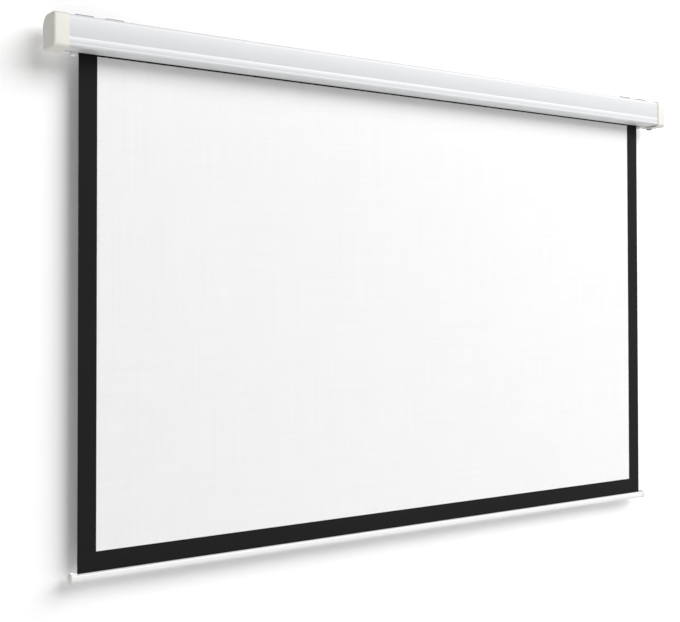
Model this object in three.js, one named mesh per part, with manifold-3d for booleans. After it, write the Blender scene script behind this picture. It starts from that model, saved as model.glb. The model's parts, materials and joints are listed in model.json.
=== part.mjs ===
// Motorized projector screen for a wall or a ceiling, in millimetres.
// +X runs along the screen to the viewer's right, +Y into the wall and +Z up.
// The origin lies on the wall plane, at the middle of the case's length and height.
import * as THREE from "three";
import { mergeVertices } from "three/addons/utils/BufferGeometryUtils.js";
import Module from "manifold-3d";

const wasm = await Module();
wasm.setup();

// Driving sizes of the picture and the hanging sheet
const pictureWidth = 2000;
const pictureHeight = 1250;
const sideBorderWidth = 50;
const bottomBorderHeight = 50;
const sheetThickness = 0.5;
const borderFilmThickness = 0.25;

// Driving sizes of the case, an extruded profile
const endAllowance = 60;
const caseHeight = 83;
const caseDepth = 74;
const caseWall = 1.8;
const caseTopRadius = 10;
const caseLowerRadius = 8;
const caseBackTopRadius = 28;
const caseBackLowerRadius = 4;
const fabricSetback = 57;
const slotReach = 6;

// Driving sizes of the roller
const rollerRadius = 23;
const rollerWall = 1.5;
const rollerLift = 4;
const woundThickness = 2;

// Driving sizes of the bottom bar
const barHeight = 20;
const barDepth = 22;
const barOverhang = 10;

// Clearances, and how far every cutting solid runs past what it cuts
const seatGap = 0.3;
const slideGap = 0.5;
const overrun = 5;

// Rails on the back of the case, and the bracket parts that grip them
const bracketPlate = 2;
const railLip = 2;
const railReach = 6;
const railHeight = 20;
const clawThickness = 2;

// The case is as long as the fabric and what its drive and its stops take at each end.
const caseLength = pictureWidth + 2 * (sideBorderWidth + endAllowance);

// Places across the section, worked out from the sizes above
const lipBack = -(bracketPlate + slideGap);
const lipFront = lipBack - railLip;
const clawBack = lipFront - slideGap;
const clawFront = clawBack - clawThickness;
const caseBack = clawFront - slideGap;
const caseFront = caseBack - caseDepth;
const caseTop = caseHeight / 2;
const caseBottom = -caseHeight / 2;
const caseEnd = caseLength / 2;

const sheetFront = caseFront + fabricSetback;
const sheetBack = sheetFront + sheetThickness;
const filmFront = sheetFront - borderFilmThickness;
const hangingLine = (filmFront + sheetBack) / 2;
const sheetHalfWidth = pictureWidth / 2 + sideBorderWidth;
const pictureBottom = caseBottom - pictureHeight;
const barTop = pictureBottom - bottomBorderHeight;

const rollRadius = rollerRadius + woundThickness;
const rollerY = filmFront - seatGap - rollRadius;
const rollerZ = rollerLift;

// Joins and cuts

function solidOf(geometry) {
  const bare = geometry.clone();
  bare.deleteAttribute("normal");
  bare.deleteAttribute("uv");
  const merged = mergeVertices(bare);
  const corners = merged.index.array;
  const triVerts = [];
  for (let i = 0; i < corners.length; i += 3) {
    const [a, b, c] = corners.slice(i, i + 3);
    if (a !== b && b !== c && c !== a) triVerts.push(a, b, c);
  }
  return new wasm.Manifold(
    new wasm.Mesh({
      numProp: 3,
      vertProperties: merged.attributes.position.array,
      triVerts: new Uint32Array(triVerts),
    }),
  );
}

function join(first, ...others) {
  return others.reduce((whole, part) => whole.add(part), first);
}

function cut(solid, ...cutters) {
  return cutters.reduce((rest, cutter) => rest.subtract(cutter), solid);
}

// Outlines: in a section across the screen, u is Y and v is Z

function outline(left, right, bottom, top, radii = {}) {
  const { leftTop = 0, rightTop = 0, rightBottom = 0, leftBottom = 0 } = radii;
  const shape = new THREE.Shape();
  const corner = (u, v, radius, startAngle) => {
    if (radius > 0) shape.absarc(u, v, radius, startAngle, startAngle + Math.PI / 2);
    else shape.lineTo(u, v);
  };
  shape.moveTo(left + leftBottom, bottom);
  corner(right - rightBottom, bottom + rightBottom, rightBottom, -Math.PI / 2);
  corner(right - rightTop, top - rightTop, rightTop, 0);
  corner(left + leftTop, top - leftTop, leftTop, Math.PI / 2);
  corner(left + leftBottom, bottom + leftBottom, leftBottom, Math.PI);
  return shape;
}

function disc(u, v, radius) {
  return new THREE.Shape().absarc(u, v, radius, 0, 2 * Math.PI);
}

function polygon(sides, acrossCorners) {
  const points = [];
  for (let i = 0; i < sides; i += 1) {
    const angle = (2 * Math.PI * i) / sides;
    points.push(new THREE.Vector2(Math.cos(angle), Math.sin(angle)).multiplyScalar(acrossCorners));
  }
  return new THREE.Shape(points);
}

// Extrusions of an outline along one of the axes, and turned shapes

const axisBases = {
  x: [new THREE.Vector3(0, 1, 0), new THREE.Vector3(0, 0, 1), new THREE.Vector3(1, 0, 0)],
  y: [new THREE.Vector3(0, 0, 1), new THREE.Vector3(1, 0, 0), new THREE.Vector3(0, 1, 0)],
  z: [new THREE.Vector3(1, 0, 0), new THREE.Vector3(0, 1, 0), new THREE.Vector3(0, 0, 1)],
};

// Along x the outline is drawn in (y, z), along y in (z, x) and along z in (x, y).
// Each arc of the outline gets arcSegments sides, twice the value that three.js takes.
function extruded(axis, shape, start, end, arcSegments = 6) {
  const geometry = new THREE.ExtrudeGeometry(shape, {
    depth: end - start,
    bevelEnabled: false,
    curveSegments: arcSegments / 2,
  });
  geometry.translate(0, 0, start);
  geometry.applyMatrix4(new THREE.Matrix4().makeBasis(...axisBases[axis]));
  return solidOf(geometry);
}

function block(x0, x1, y0, y1, z0, z1) {
  return extruded("x", outline(y0, y1, z0, z1), x0, x1);
}

function rod(axis, u, v, radius, start, end, arcSegments = 24) {
  return extruded(axis, disc(u, v, radius), start, end, arcSegments);
}

// A profile of [radius, distance along the axis] pairs, turned round the axis.
function turned(axis, profile, sides = 24) {
  const points = profile.map(([radius, along]) => new THREE.Vector2(radius, along));
  const geometry = new THREE.LatheGeometry(points, sides);
  if (axis === "x") geometry.rotateZ(-Math.PI / 2);
  if (axis === "z") geometry.rotateX(Math.PI / 2);
  return solidOf(geometry);
}

// An outline whose outer end has a rounded edge; its inner end is cut square at start.
function roundedEnd(shape, start, end, edgeRadius, edgeSegments = 3, arcSegments = 10) {
  const geometry = new THREE.ExtrudeGeometry(shape, {
    depth: end - start,
    bevelThickness: edgeRadius,
    bevelSize: edgeRadius,
    bevelOffset: -edgeRadius,
    bevelSegments: edgeSegments,
    curveSegments: arcSegments / 2,
  });
  geometry.translate(0, 0, start - edgeRadius);
  geometry.applyMatrix4(new THREE.Matrix4().makeBasis(...axisBases.x));
  const reach = caseHeight;
  const behind = block(start - 2 * edgeRadius - overrun, start, -2 * reach, reach, -reach, reach);
  return solidOf(geometry).subtract(behind);
}

// Materials

const paintedCase = new THREE.MeshStandardMaterial({ color: 0xe9eaf0, roughness: 0.42, metalness: 0.1 });
const ivoryPlastic = new THREE.MeshStandardMaterial({ color: 0xe9e5da, roughness: 0.5, metalness: 0 });
const whitePlastic = new THREE.MeshStandardMaterial({ color: 0xececea, roughness: 0.5, metalness: 0 });
const zincSteel = new THREE.MeshStandardMaterial({ color: 0x9c9fa3, roughness: 0.4, metalness: 1 });
const bareSteel = new THREE.MeshStandardMaterial({ color: 0x8c8d8f, roughness: 0.35, metalness: 1 });
const bareAluminium = new THREE.MeshStandardMaterial({ color: 0xc3c5c7, roughness: 0.4, metalness: 1 });
const whiteBar = new THREE.MeshStandardMaterial({ color: 0xf0f0f0, roughness: 0.4, metalness: 0.1 });
const blackPlastic = new THREE.MeshStandardMaterial({ color: 0x1b1b1d, roughness: 0.55, metalness: 0 });
const greyRubber = new THREE.MeshStandardMaterial({ color: 0x8f9092, roughness: 0.85, metalness: 0 });
const bronze = new THREE.MeshStandardMaterial({ color: 0xa8854b, roughness: 0.4, metalness: 1 });
const whiteScreen = new THREE.MeshStandardMaterial({ color: 0xf4f4f4, roughness: 0.95, metalness: 0 });
const blackScreen = new THREE.MeshStandardMaterial({ color: 0x141414, roughness: 0.9, metalness: 0 });

function geometryOf(solid) {
  const { vertProperties, triVerts } = solid.getMesh();
  const geometry = new THREE.BufferGeometry();
  geometry.setAttribute("position", new THREE.BufferAttribute(new Float32Array(vertProperties), 3));
  geometry.setIndex(new THREE.BufferAttribute(new Uint32Array(triVerts), 1));
  geometry.computeVertexNormals();
  return geometry;
}

function addPiece(group, name, solid, material) {
  const mesh = new THREE.Mesh(geometryOf(solid), material.clone());
  mesh.name = name;
  group.add(mesh);
  return mesh;
}

// Case: an extrusion with a slot underneath, a screw channel in each corner and two rails behind

const channelRadius = 4.2;
const channelBore = 1.7;
const channelSlit = 1.6;
const channelBite = 0.2;
const slotLipThickness = 1.6;
const slotLipRise = 6;
const grooveRadius = 1.1;
const grooveDepth = 0.6;
const grooveHeightShares = [0.12, 0.313];
const capOverlap = 12;
const railSetback = 4;

function caseOutline(inset) {
  return outline(caseFront + inset, caseBack - inset, caseBottom + inset, caseTop - inset, {
    leftTop: caseTopRadius - inset,
    rightTop: caseBackTopRadius - inset,
    rightBottom: caseBackLowerRadius - inset,
    leftBottom: caseLowerRadius - inset,
  });
}

// Each channel touches the round of its corner, on the diagonal.
const channels = [
  { side: -1, rise: 1, radius: caseTopRadius },
  { side: 1, rise: 1, radius: caseBackTopRadius },
  { side: 1, rise: -1, radius: caseBackLowerRadius },
  { side: -1, rise: -1, radius: caseLowerRadius },
].map(({ side, rise, radius }) => {
  const outwards = (radius - caseWall - channelRadius + channelBite) * Math.SQRT1_2;
  const wallY = side > 0 ? caseBack : caseFront;
  const wallZ = rise > 0 ? caseTop : caseBottom;
  return { side, y: wallY - side * (radius - outwards), z: wallZ - rise * (radius - outwards) };
});

function caseProfile() {
  const slotFront = hangingLine - slotReach;
  const slotBack = hangingLine + slotReach;
  const lipTop = caseBottom + slotLipRise;
  const railEnd = caseEnd - capOverlap - railSetback;
  const tube = cut(
    extruded("x", caseOutline(0), -caseEnd, caseEnd, 8),
    extruded("x", caseOutline(caseWall), -caseEnd - overrun, caseEnd + overrun, 8),
  );
  const lips = [
    block(-caseEnd, caseEnd, slotFront - slotLipThickness, slotFront, caseBottom, lipTop),
    block(-caseEnd, caseEnd, slotBack, slotBack + slotLipThickness, caseBottom, lipTop),
  ];
  const posts = channels.map(({ y, z }) => rod("x", y, z, channelRadius, -caseEnd, caseEnd, 12));
  const bores = channels.flatMap(({ side, y, z }) => {
    const slitEnd = y - side * (channelRadius + channelBite);
    const [y0, y1] = [Math.min(y, slitEnd), Math.max(y, slitEnd)];
    return [
      rod("x", y, z, channelBore, -caseEnd - overrun, caseEnd + overrun, 10),
      block(-caseEnd - overrun, caseEnd + overrun, y0, y1, z - channelSlit / 2, z + channelSlit / 2),
    ];
  });
  const rails = [1, -1].flatMap((rise) => {
    const foot = rise * (railHeight - railLip);
    const seat = rise * railHeight;
    const tip = rise * (railHeight + railReach);
    return [
      block(-railEnd, railEnd, caseBack - caseWall, lipBack, Math.min(foot, seat), Math.max(foot, seat)),
      block(-railEnd, railEnd, lipFront, lipBack, Math.min(foot, tip), Math.max(foot, tip)),
    ];
  });
  const slot = block(
    -caseEnd - overrun, caseEnd + overrun,
    slotFront, slotBack,
    caseBottom - overrun, caseBottom + slotLipRise + overrun,
  );
  const grooves = grooveHeightShares.map((share) =>
    rod(
      "x", caseFront - grooveRadius + grooveDepth, caseBottom + share * caseHeight,
      grooveRadius, -caseEnd - overrun, caseEnd + overrun, 10,
    ),
  );
  return cut(join(tube, ...lips, ...posts, ...rails), slot, ...bores, ...grooves);
}

// End pieces, drawn with x = 0 at the end of the case and x growing outwards

const capReach = 27;
const capWall = 2;
const capFloor = 2.5;
const capDrop = 2.5;
const capEdgeRadius = 6;
const capFrontTopRadius = 13;
const capFrontLowerRadius = 13;
const capBackTopRadius = caseBackTopRadius + capWall + seatGap;
const capBackLowerRadius = 9;
const capRibThickness = 1.6;
const capRibShares = [0.22, 0.5, 0.9];
const postRadius = 5.6;
const postInset = 9;
const counterboreRadius = 4.2;
const counterboreDepth = 1.9;
const plateThickness = 2;
const plateInset = 0.6;
const plateInner = seatGap;
const plateOuter = plateInner + plateThickness;

const postPlaces = [
  { y: caseFront + postInset, z: rollerZ + postInset },
  { y: caseBack - postInset, z: rollerZ },
];

function capOutline(inset) {
  const around = capWall + seatGap - inset;
  return outline(caseFront - around, caseBack + around, caseBottom - around - capDrop, caseTop + around, {
    leftTop: capFrontTopRadius - inset,
    rightTop: capBackTopRadius - inset,
    rightBottom: capBackLowerRadius - inset,
    leftBottom: capFrontLowerRadius - inset,
  });
}

// Cap screws: a pan head in the counterbore and a shank down through the post and the plate
const capScrew = { shankRadius: 1.6, headRadius: 3.7, headHeight: 1.4, pastPlate: 3 };
const plateScrew = { shankRadius: 1.35, headRadius: 3, headHeight: 1.8, length: 16 };

function endCap() {
  const mouth = -capOverlap;
  const floor = capReach - capFloor;
  const shell = roundedEnd(capOutline(0), mouth, capReach, capEdgeRadius);
  const cavity = roundedEnd(capOutline(capWall), mouth - overrun, floor, capEdgeRadius - capWall);
  const ribBottom = caseBottom - capDrop - 2 * seatGap;
  const ribs = capRibShares.map((share) => {
    const y = caseFront + share * caseDepth;
    return block(mouth, -seatGap, y, y + capRibThickness, ribBottom, caseBottom - seatGap);
  });
  const posts = postPlaces.map(({ y, z }) => rod("x", y, z, postRadius, plateOuter + seatGap, floor + seatGap, 16));
  const postBores = postPlaces.flatMap(({ y, z }) => [
    rod("x", y, z, capScrew.shankRadius + seatGap, mouth, capReach + overrun, 12),
    rod("x", y, z, counterboreRadius, capReach - counterboreDepth, capReach + overrun, 16),
  ]);
  return cut(join(shell.subtract(cavity), ...ribs, ...posts), ...postBores);
}

function endPlate(...openings) {
  const holes = [
    ...channels.map(({ y, z }) => rod("x", y, z, plateScrew.shankRadius + seatGap, -overrun, overrun, 10)),
    ...postPlaces.map(({ y, z }) => rod("x", y, z, capScrew.shankRadius + seatGap, -overrun, overrun, 10)),
  ];
  return cut(extruded("x", caseOutline(plateInset), plateInner, plateOuter), ...holes, ...openings);
}

function screw({ shankRadius, headRadius, headHeight }, tip, seat) {
  const crown = headHeight / 3;
  return turned(
    "x",
    [
      [0, tip],
      [shankRadius / 2, tip],
      [shankRadius, tip + shankRadius / 2],
      [shankRadius, seat],
      [headRadius, seat],
      [headRadius, seat + headHeight - crown],
      [headRadius - crown, seat + headHeight],
      [0, seat + headHeight],
    ],
    12,
  );
}

// Slot plug: fills the end of the slot, grips its lips and carries the foot that stops the bar

const plugClearance = 9;
const plugEnd = -capOverlap - slideGap;
const plugNotch = 6.5;
const plugFlange = 1.8;
const plugFlangeReach = 3;
const plugBackReach = 1;
const footLength = 9.5;
const footDrop = 8.5;

const plugStart = plugClearance - endAllowance;
const footEnd = plugStart + footLength;

function slotPlug() {
  const neckFront = hangingLine - slotReach + seatGap;
  const neckBack = hangingLine + slotReach - seatGap;
  const flangeFront = hangingLine - slotReach - plugFlangeReach;
  const flangeBack = hangingLine + slotReach + plugFlangeReach;
  const underside = caseBottom - seatGap;
  const aboveLips = caseBottom + slotLipRise + seatGap;
  const gripBack = hangingLine + slotReach + plugBackReach;
  const footEdge = plugFlange / 2;
  const foot = extruded(
    "x",
    outline(flangeFront, flangeBack, caseBottom - footDrop, underside, {
      leftBottom: footEdge,
      rightBottom: footEdge,
    }),
    plugStart, footEnd, 3,
  );
  return join(
    block(footEnd + plugNotch, plugEnd, neckFront, neckBack, underside - plugFlange, aboveLips + plugFlange),
    block(footEnd + plugNotch, plugEnd, flangeFront, flangeBack, underside - plugFlange, underside),
    block(plugStart, footEnd, neckFront, neckBack, underside - plugFlange, aboveLips + plugFlange),
    block(plugStart, plugEnd, flangeFront, gripBack, aboveLips, aboveLips + plugFlange),
    foot,
  );
}

// Grommet for the mains lead, in the floor of the right cap

const grommetBore = 3.5;
const grommetNeck = 7.7;
const grommetFlange = 10;
const grommetLip = 9.2;
const grommetLipHeight = 1.2;
const grommetDrop = 3.4;
const grommetX = 10;
const grommetSetback = 16;

const grommetY = caseBack - grommetSetback;
const capUnderside = caseBottom - capDrop - capWall - seatGap;
const capInnerFloor = capUnderside + capWall;

function cableGrommet() {
  const flangeTop = capUnderside - seatGap;
  const lipBottom = capInnerFloor + seatGap;
  const edge = grommetDrop / 3;
  const profile = [
    [grommetBore, flangeTop - grommetDrop],
    [grommetFlange - edge, flangeTop - grommetDrop],
    [grommetFlange, flangeTop - grommetDrop + edge],
    [grommetFlange, flangeTop],
    [grommetNeck, flangeTop],
    [grommetNeck, lipBottom],
    [grommetLip, lipBottom],
    [grommetNeck, lipBottom + grommetLipHeight],
    [grommetBore, lipBottom + grommetLipHeight],
    [grommetBore, flangeTop - grommetDrop],
  ];
  return turned("z", profile, 20);
}

// Tubular motor, drawn round its axis with x = 0 at the end of the case

const motorHeadRadius = 19;
const motorHeadLength = 24;
const motorRadius = 17.5;
const motorLength = 430;
const gearboxRadius = 16.5;
const gearboxLength = 60;
const studHalf = 6;
const studLength = 8;
const studGroove = 1.5;
const clipThickness = 1.2;
const clipHalf = 11;
const shaftHalf = 5;
const shaftLength = 40;
const limitScrewRadius = 2.4;
const limitScrewDepth = 8;
const limitSocketRadius = 1.3;
const limitSocketDepth = 3;
const limitSpread = 6.5;
const limitFall = 12.5;
const accessRadius = 3.2;

const motorStart = -motorHeadLength - seatGap;
const gearboxStart = motorStart - motorLength - seatGap;
const shaftStart = gearboxStart - gearboxLength - seatGap;
const limitPlaces = [-limitSpread, limitSpread].map((y) => ({ y, z: -limitFall }));
const clipStart = plateOuter + seatGap;

function motorHead() {
  const stud = block(-overrun, studLength, -studHalf, studHalf, -studHalf, studHalf);
  const grooves = [-1, 1].map((side) => {
    const inner = side * (studHalf - studGroove);
    const outer = side * (studHalf + overrun);
    return block(
      clipStart - seatGap, clipStart + clipThickness + seatGap,
      Math.min(inner, outer), Math.max(inner, outer),
      -studHalf - overrun, studHalf + overrun,
    );
  });
  const recesses = limitPlaces.map(({ y, z }) =>
    rod("x", y, z, limitScrewRadius + seatGap, -limitScrewDepth, overrun, 12),
  );
  const collar = motorHeadLength / 4;
  const body = turned("x", [
    [0, -motorHeadLength],
    [motorRadius, -motorHeadLength],
    [motorRadius, -motorHeadLength + collar],
    [motorHeadRadius, -motorHeadLength + collar],
    [motorHeadRadius, 0],
    [0, 0],
  ]);
  return cut(join(body, stud), ...grooves, ...recesses);
}

function motorClip() {
  const opening = studHalf - studGroove + seatGap;
  const outer = outline(-clipHalf, clipHalf, -clipHalf, studHalf, { leftBottom: studHalf, rightBottom: studHalf });
  return cut(
    extruded("x", outer, clipStart, clipStart + clipThickness),
    block(clipStart - overrun, clipStart + overrun, -opening, opening, -studHalf - seatGap, clipHalf + overrun),
  );
}

function motorTube() {
  const chamfer = (motorHeadRadius - motorRadius) / 2;
  return turned("x", [
    [0, gearboxStart + seatGap],
    [motorRadius - chamfer, gearboxStart + seatGap],
    [motorRadius, gearboxStart + seatGap + chamfer],
    [motorRadius, motorStart - chamfer],
    [motorRadius - chamfer, motorStart],
    [0, motorStart],
  ]);
}

function gearbox() {
  const neck = gearboxLength / 6;
  return turned("x", [
    [0, shaftStart + seatGap],
    [shaftHalf * 2, shaftStart + seatGap],
    [shaftHalf * 2, shaftStart + seatGap + neck],
    [gearboxRadius, shaftStart + seatGap + neck],
    [gearboxRadius, gearboxStart],
    [0, gearboxStart],
  ]);
}

function outputShaft() {
  return block(shaftStart - shaftLength, shaftStart, -shaftHalf, shaftHalf, -shaftHalf, shaftHalf);
}

function limitScrew() {
  const tip = -limitScrewDepth + seatGap;
  const body = rod("x", 0, 0, limitScrewRadius, tip, -seatGap, 14);
  return cut(body, extruded("x", polygon(6, limitSocketRadius), -seatGap - limitSocketDepth, overrun));
}

// Roller: a tube with a fabric groove, and the wheels that carry it

const grooveRingWall = 1;
const lockPocket = 1.4;
const lockMouth = 1.4;
const wheelFlange = 2.2;
const wheelGap = 0.5;
const wheelLength = 21;
const driveWheelLength = 22;
const wheelHub = 9;
const wheelSpoke = 3;
const wheelSpokes = 6;
const wheelRim = 2.4;
const plugLength = 34;
const bushWall = 2.7;
const bushLength = 26;

const lockRadius = lockPocket - seatGap;
const lockCentre = rollerRadius - lockPocket - slideGap / 2;
const tubeBore = rollerRadius - rollerWall;
const wheelRadius = tubeBore - seatGap;
const rollerEnd = -motorHeadLength - wheelGap - wheelFlange - seatGap;

function rollerTube() {
  const end = caseEnd + rollerEnd;
  const ringRadius = lockPocket + grooveRingWall;
  const tube = cut(
    rod("x", 0, 0, rollerRadius, -end, end, 40),
    rod("x", 0, 0, tubeBore, -end - overrun, end + overrun, 40),
  );
  const ring = extruded("x", disc(0, lockCentre, ringRadius), -end, end, 16)
    .intersect(rod("x", 0, 0, rollerRadius - rollerWall / 2, -end, end, 40));
  return cut(
    join(tube, ring),
    rod("x", 0, lockCentre, lockPocket, -end - overrun, end + overrun, 14),
    block(-end - overrun, end + overrun, -lockMouth / 2, lockMouth / 2, lockCentre, rollerRadius + overrun),
  );
}

function keyCutter(start, end) {
  const keyRadius = lockPocket + grooveRingWall + seatGap;
  return join(
    rod("x", 0, lockCentre, keyRadius, start, end, 14),
    block(start, end, -keyRadius, keyRadius, lockCentre, rollerRadius + overrun),
  );
}

// A wheel with a rim, spokes and a hub, which fits in the tube and clears its groove.
function spokedWheel(start, end, hubRadius) {
  const hub = rod("x", 0, 0, hubRadius, start, end, 20);
  const rim = cut(
    rod("x", 0, 0, wheelRadius, start, end, 40),
    rod("x", 0, 0, wheelRadius - wheelRim, start - overrun, end + overrun, 40),
  );
  const spokes = [];
  for (let i = 0; i < wheelSpokes; i += 1) {
    const shape = new THREE.Shape();
    const angle = (2 * Math.PI * (i + 1 / 2)) / wheelSpokes;
    const along = new THREE.Vector2(Math.cos(angle), Math.sin(angle));
    const across = new THREE.Vector2(-along.y, along.x).multiplyScalar(wheelSpoke / 2);
    const inner = along.clone().multiplyScalar(hubRadius - wheelRim / 2);
    const outer = along.clone().multiplyScalar(wheelRadius - wheelRim / 2);
    shape.setFromPoints([
      inner.clone().sub(across),
      outer.clone().sub(across),
      outer.clone().add(across),
      inner.clone().add(across),
    ]);
    spokes.push(extruded("x", shape, start, end));
  }
  return cut(join(hub, rim, ...spokes), keyCutter(start - overrun, end + overrun));
}

function driveWheel() {
  const middle = shaftStart - shaftLength / 2;
  const square = shaftHalf + seatGap;
  const start = middle - driveWheelLength / 2;
  const end = middle + driveWheelLength / 2;
  return cut(
    spokedWheel(start, end, wheelHub),
    block(start - overrun, end + overrun, -square, square, -square, square),
  );
}

function endFlange(innerRadius) {
  const start = rollerEnd + seatGap;
  return cut(
    rod("x", 0, 0, rollerRadius, start, start + wheelFlange, 40),
    rod("x", 0, 0, innerRadius, start - overrun, start + wheelFlange + overrun, 32),
  );
}

function limitCrown() {
  const bore = motorRadius + slideGap;
  const start = rollerEnd - wheelLength;
  const sleeve = cut(
    rod("x", 0, 0, wheelRadius, start, rollerEnd + slideGap, 40),
    keyCutter(start - overrun, rollerEnd + seatGap),
    rod("x", 0, 0, bore, start - overrun, overrun, 32),
  );
  return join(sleeve, endFlange(bore));
}

const pinRadius = 5;
const pinCollarRadius = 9;
const pinCollarLength = 4;
const pinTail = 8;
const nutRadius = 7.5;
const nutHeight = 5;

const bushRadius = pinRadius + seatGap + bushWall;

function idlerPlug() {
  const bore = bushRadius + seatGap;
  const start = rollerEnd - plugLength;
  const body = spokedWheel(start, rollerEnd + slideGap, bore + wheelRim);
  return cut(join(body, endFlange(bore)), rod("x", 0, 0, bore, start - overrun, overrun, 24));
}

function idlerBush() {
  const end = rollerEnd;
  return cut(
    rod("x", 0, 0, bushRadius, end - bushLength, end, 24),
    rod("x", 0, 0, pinRadius + seatGap, end - bushLength - overrun, end + overrun, 24),
  );
}

function idlerPin() {
  const tip = rollerEnd - plugLength;
  return turned("x", [
    [0, tip],
    [pinRadius / 2, tip],
    [pinRadius, tip + pinRadius / 2],
    [pinRadius, -pinCollarLength],
    [pinCollarRadius, -pinCollarLength],
    [pinCollarRadius, 0],
    [pinRadius, 0],
    [pinRadius, pinTail],
    [0, pinTail],
  ]);
}

function idlerNut() {
  const start = plateOuter + seatGap;
  return cut(
    extruded("x", polygon(6, nutRadius), start, start + nutHeight),
    rod("x", 0, 0, pinRadius + seatGap, start - overrun, start + nutHeight + overrun, 20),
  );
}

// The fabric that stays on the roller: a spiral from the hanging line, over the top, to the groove.
const wrapTurns = 1.25;
const wrapStepsPerTurn = 32;
const wrapGap = 0.35;

function fabricWraps() {
  const steps = Math.round(wrapTurns * wrapStepsPerTurn);
  const outerSide = [];
  const innerSide = [];
  for (let i = 0; i <= steps; i += 1) {
    const angle = (2 * Math.PI * wrapTurns * i) / steps;
    const radius = rollRadius - ((sheetThickness + wrapGap) * angle) / (2 * Math.PI);
    const direction = new THREE.Vector2(Math.cos(angle), Math.sin(angle));
    outerSide.push(direction.clone().multiplyScalar(radius));
    innerSide.unshift(direction.clone().multiplyScalar(radius - sheetThickness));
  }
  const ribbon = new THREE.Shape([...outerSide, ...innerSide]);
  return extruded("x", ribbon, -sheetHalfWidth, sheetHalfWidth);
}

function fabricLockStrip() {
  return rod("x", 0, lockCentre, lockRadius, -sheetHalfWidth, sheetHalfWidth, 10);
}

// Hanging sheet, from the roller's back tangent down to the bottom border

function hangingSheet() {
  return block(-sheetHalfWidth, sheetHalfWidth, sheetFront, sheetBack, pictureBottom, rollerZ);
}

function sideBorder() {
  const inner = pictureWidth / 2;
  return block(inner, inner + sideBorderWidth, filmFront, sheetFront, pictureBottom, rollerZ);
}

// Bottom bar, drawn with z = 0 at its top and y = 0 on the hanging line

const barWall = 1.6;
const barTopRadius = 6;
const barLowerRadius = 9;
const hemPocket = 3.9;
const hemLoopThickness = 0.7;
const hemRodRadius = 2.5;
const pocketWall = 1.3;
const pocketMouth = 2.2;
const weightRodRadius = 3;
const weightRodInset = 22;
const barCapLength = 9.7;
const barCapRise = 3.5;
const barCapMargin = 2;
const barCapRadius = 11;
const barCapEdge = 2.5;
const barPlugLength = 15;

const barEnd = sheetHalfWidth + barOverhang;
const pocketZ = -(barWall + hemPocket);
const chamberTop = pocketZ - hemPocket - pocketWall - seatGap;

function barOutline(inset) {
  return outline(-barDepth / 2 + inset, barDepth / 2 - inset, -barHeight + inset, -inset, {
    leftTop: barTopRadius - inset,
    rightTop: barTopRadius - inset,
    rightBottom: barLowerRadius - inset,
    leftBottom: barLowerRadius - inset,
  });
}

function bottomBar() {
  const tube = cut(
    extruded("x", barOutline(0), -barEnd, barEnd, 6),
    extruded("x", barOutline(barWall), -barEnd - overrun, barEnd + overrun, 6),
  );
  const pocketRing = rod("x", 0, pocketZ, hemPocket + pocketWall, -barEnd, barEnd, 24);
  return cut(
    join(tube, pocketRing),
    rod("x", 0, pocketZ, hemPocket, -barEnd - overrun, barEnd + overrun, 20),
    block(-barEnd - overrun, barEnd + overrun, -pocketMouth / 2, pocketMouth / 2, pocketZ, overrun),
  );
}

function bottomBorder() {
  const half = (sheetThickness + borderFilmThickness) / 2;
  const loop = rod("x", 0, pocketZ, hemRodRadius + seatGap + hemLoopThickness, -sheetHalfWidth, sheetHalfWidth, 18);
  const strip = block(-sheetHalfWidth, sheetHalfWidth, -half, half, pocketZ, bottomBorderHeight);
  const bore = rod(
    "x", 0, pocketZ, hemRodRadius + seatGap, -sheetHalfWidth - overrun, sheetHalfWidth + overrun, 18,
  );
  return cut(join(loop, strip), bore);
}

function hemRod() {
  return rod("x", 0, pocketZ, hemRodRadius, -sheetHalfWidth, sheetHalfWidth, 12);
}

function weightRod() {
  const reach = barEnd - weightRodInset;
  return rod("x", 0, -barHeight + barWall + seatGap + weightRodRadius, weightRodRadius, -reach, reach, 12);
}

function barCap() {
  const half = barDepth / 2 + barCapMargin;
  const shape = outline(-half, half, -barHeight - barCapMargin / 2, barCapRise, {
    leftTop: barCapRadius,
    rightTop: barCapRadius,
    rightBottom: barCapRadius,
    leftBottom: barCapRadius,
  });
  const flangeStart = barEnd + seatGap;
  const flange = roundedEnd(shape, flangeStart, flangeStart + barCapLength, barCapEdge);
  const plug = cut(
    extruded("x", barOutline(barWall + seatGap), barEnd - barPlugLength, flangeStart + seatGap, 6),
    block(barEnd - barPlugLength - overrun, barEnd + overrun, -barDepth, barDepth, chamberTop, overrun),
  );
  return join(flange, plug);
}

// Hanging bracket: a bent plate with claws over the upper rail and a clamp under the lower rail

const bracketLength = 130;
const bracketTop = 56;
const bracketBottom = -39;
const bracketTopFlange = 28;
const bendRadius = 4;
const tabGap = 34;
const screwSlotLength = 14;
const screwSlotHalf = 4;
const screwSlotInset = 24;
const clawWidth = 30;
const clawInset = 30;
const clampWidth = 30;
const clampBlock = 7.5;
const clampBoreDepth = 5;
const clampScrew = { shankRadius: 1.45, headRadius: 2.4, headHeight: 2 };

const clampY = (clawFront + lipBack + seatGap) / 2;
const bracketLowFlange = -clawFront;

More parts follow.
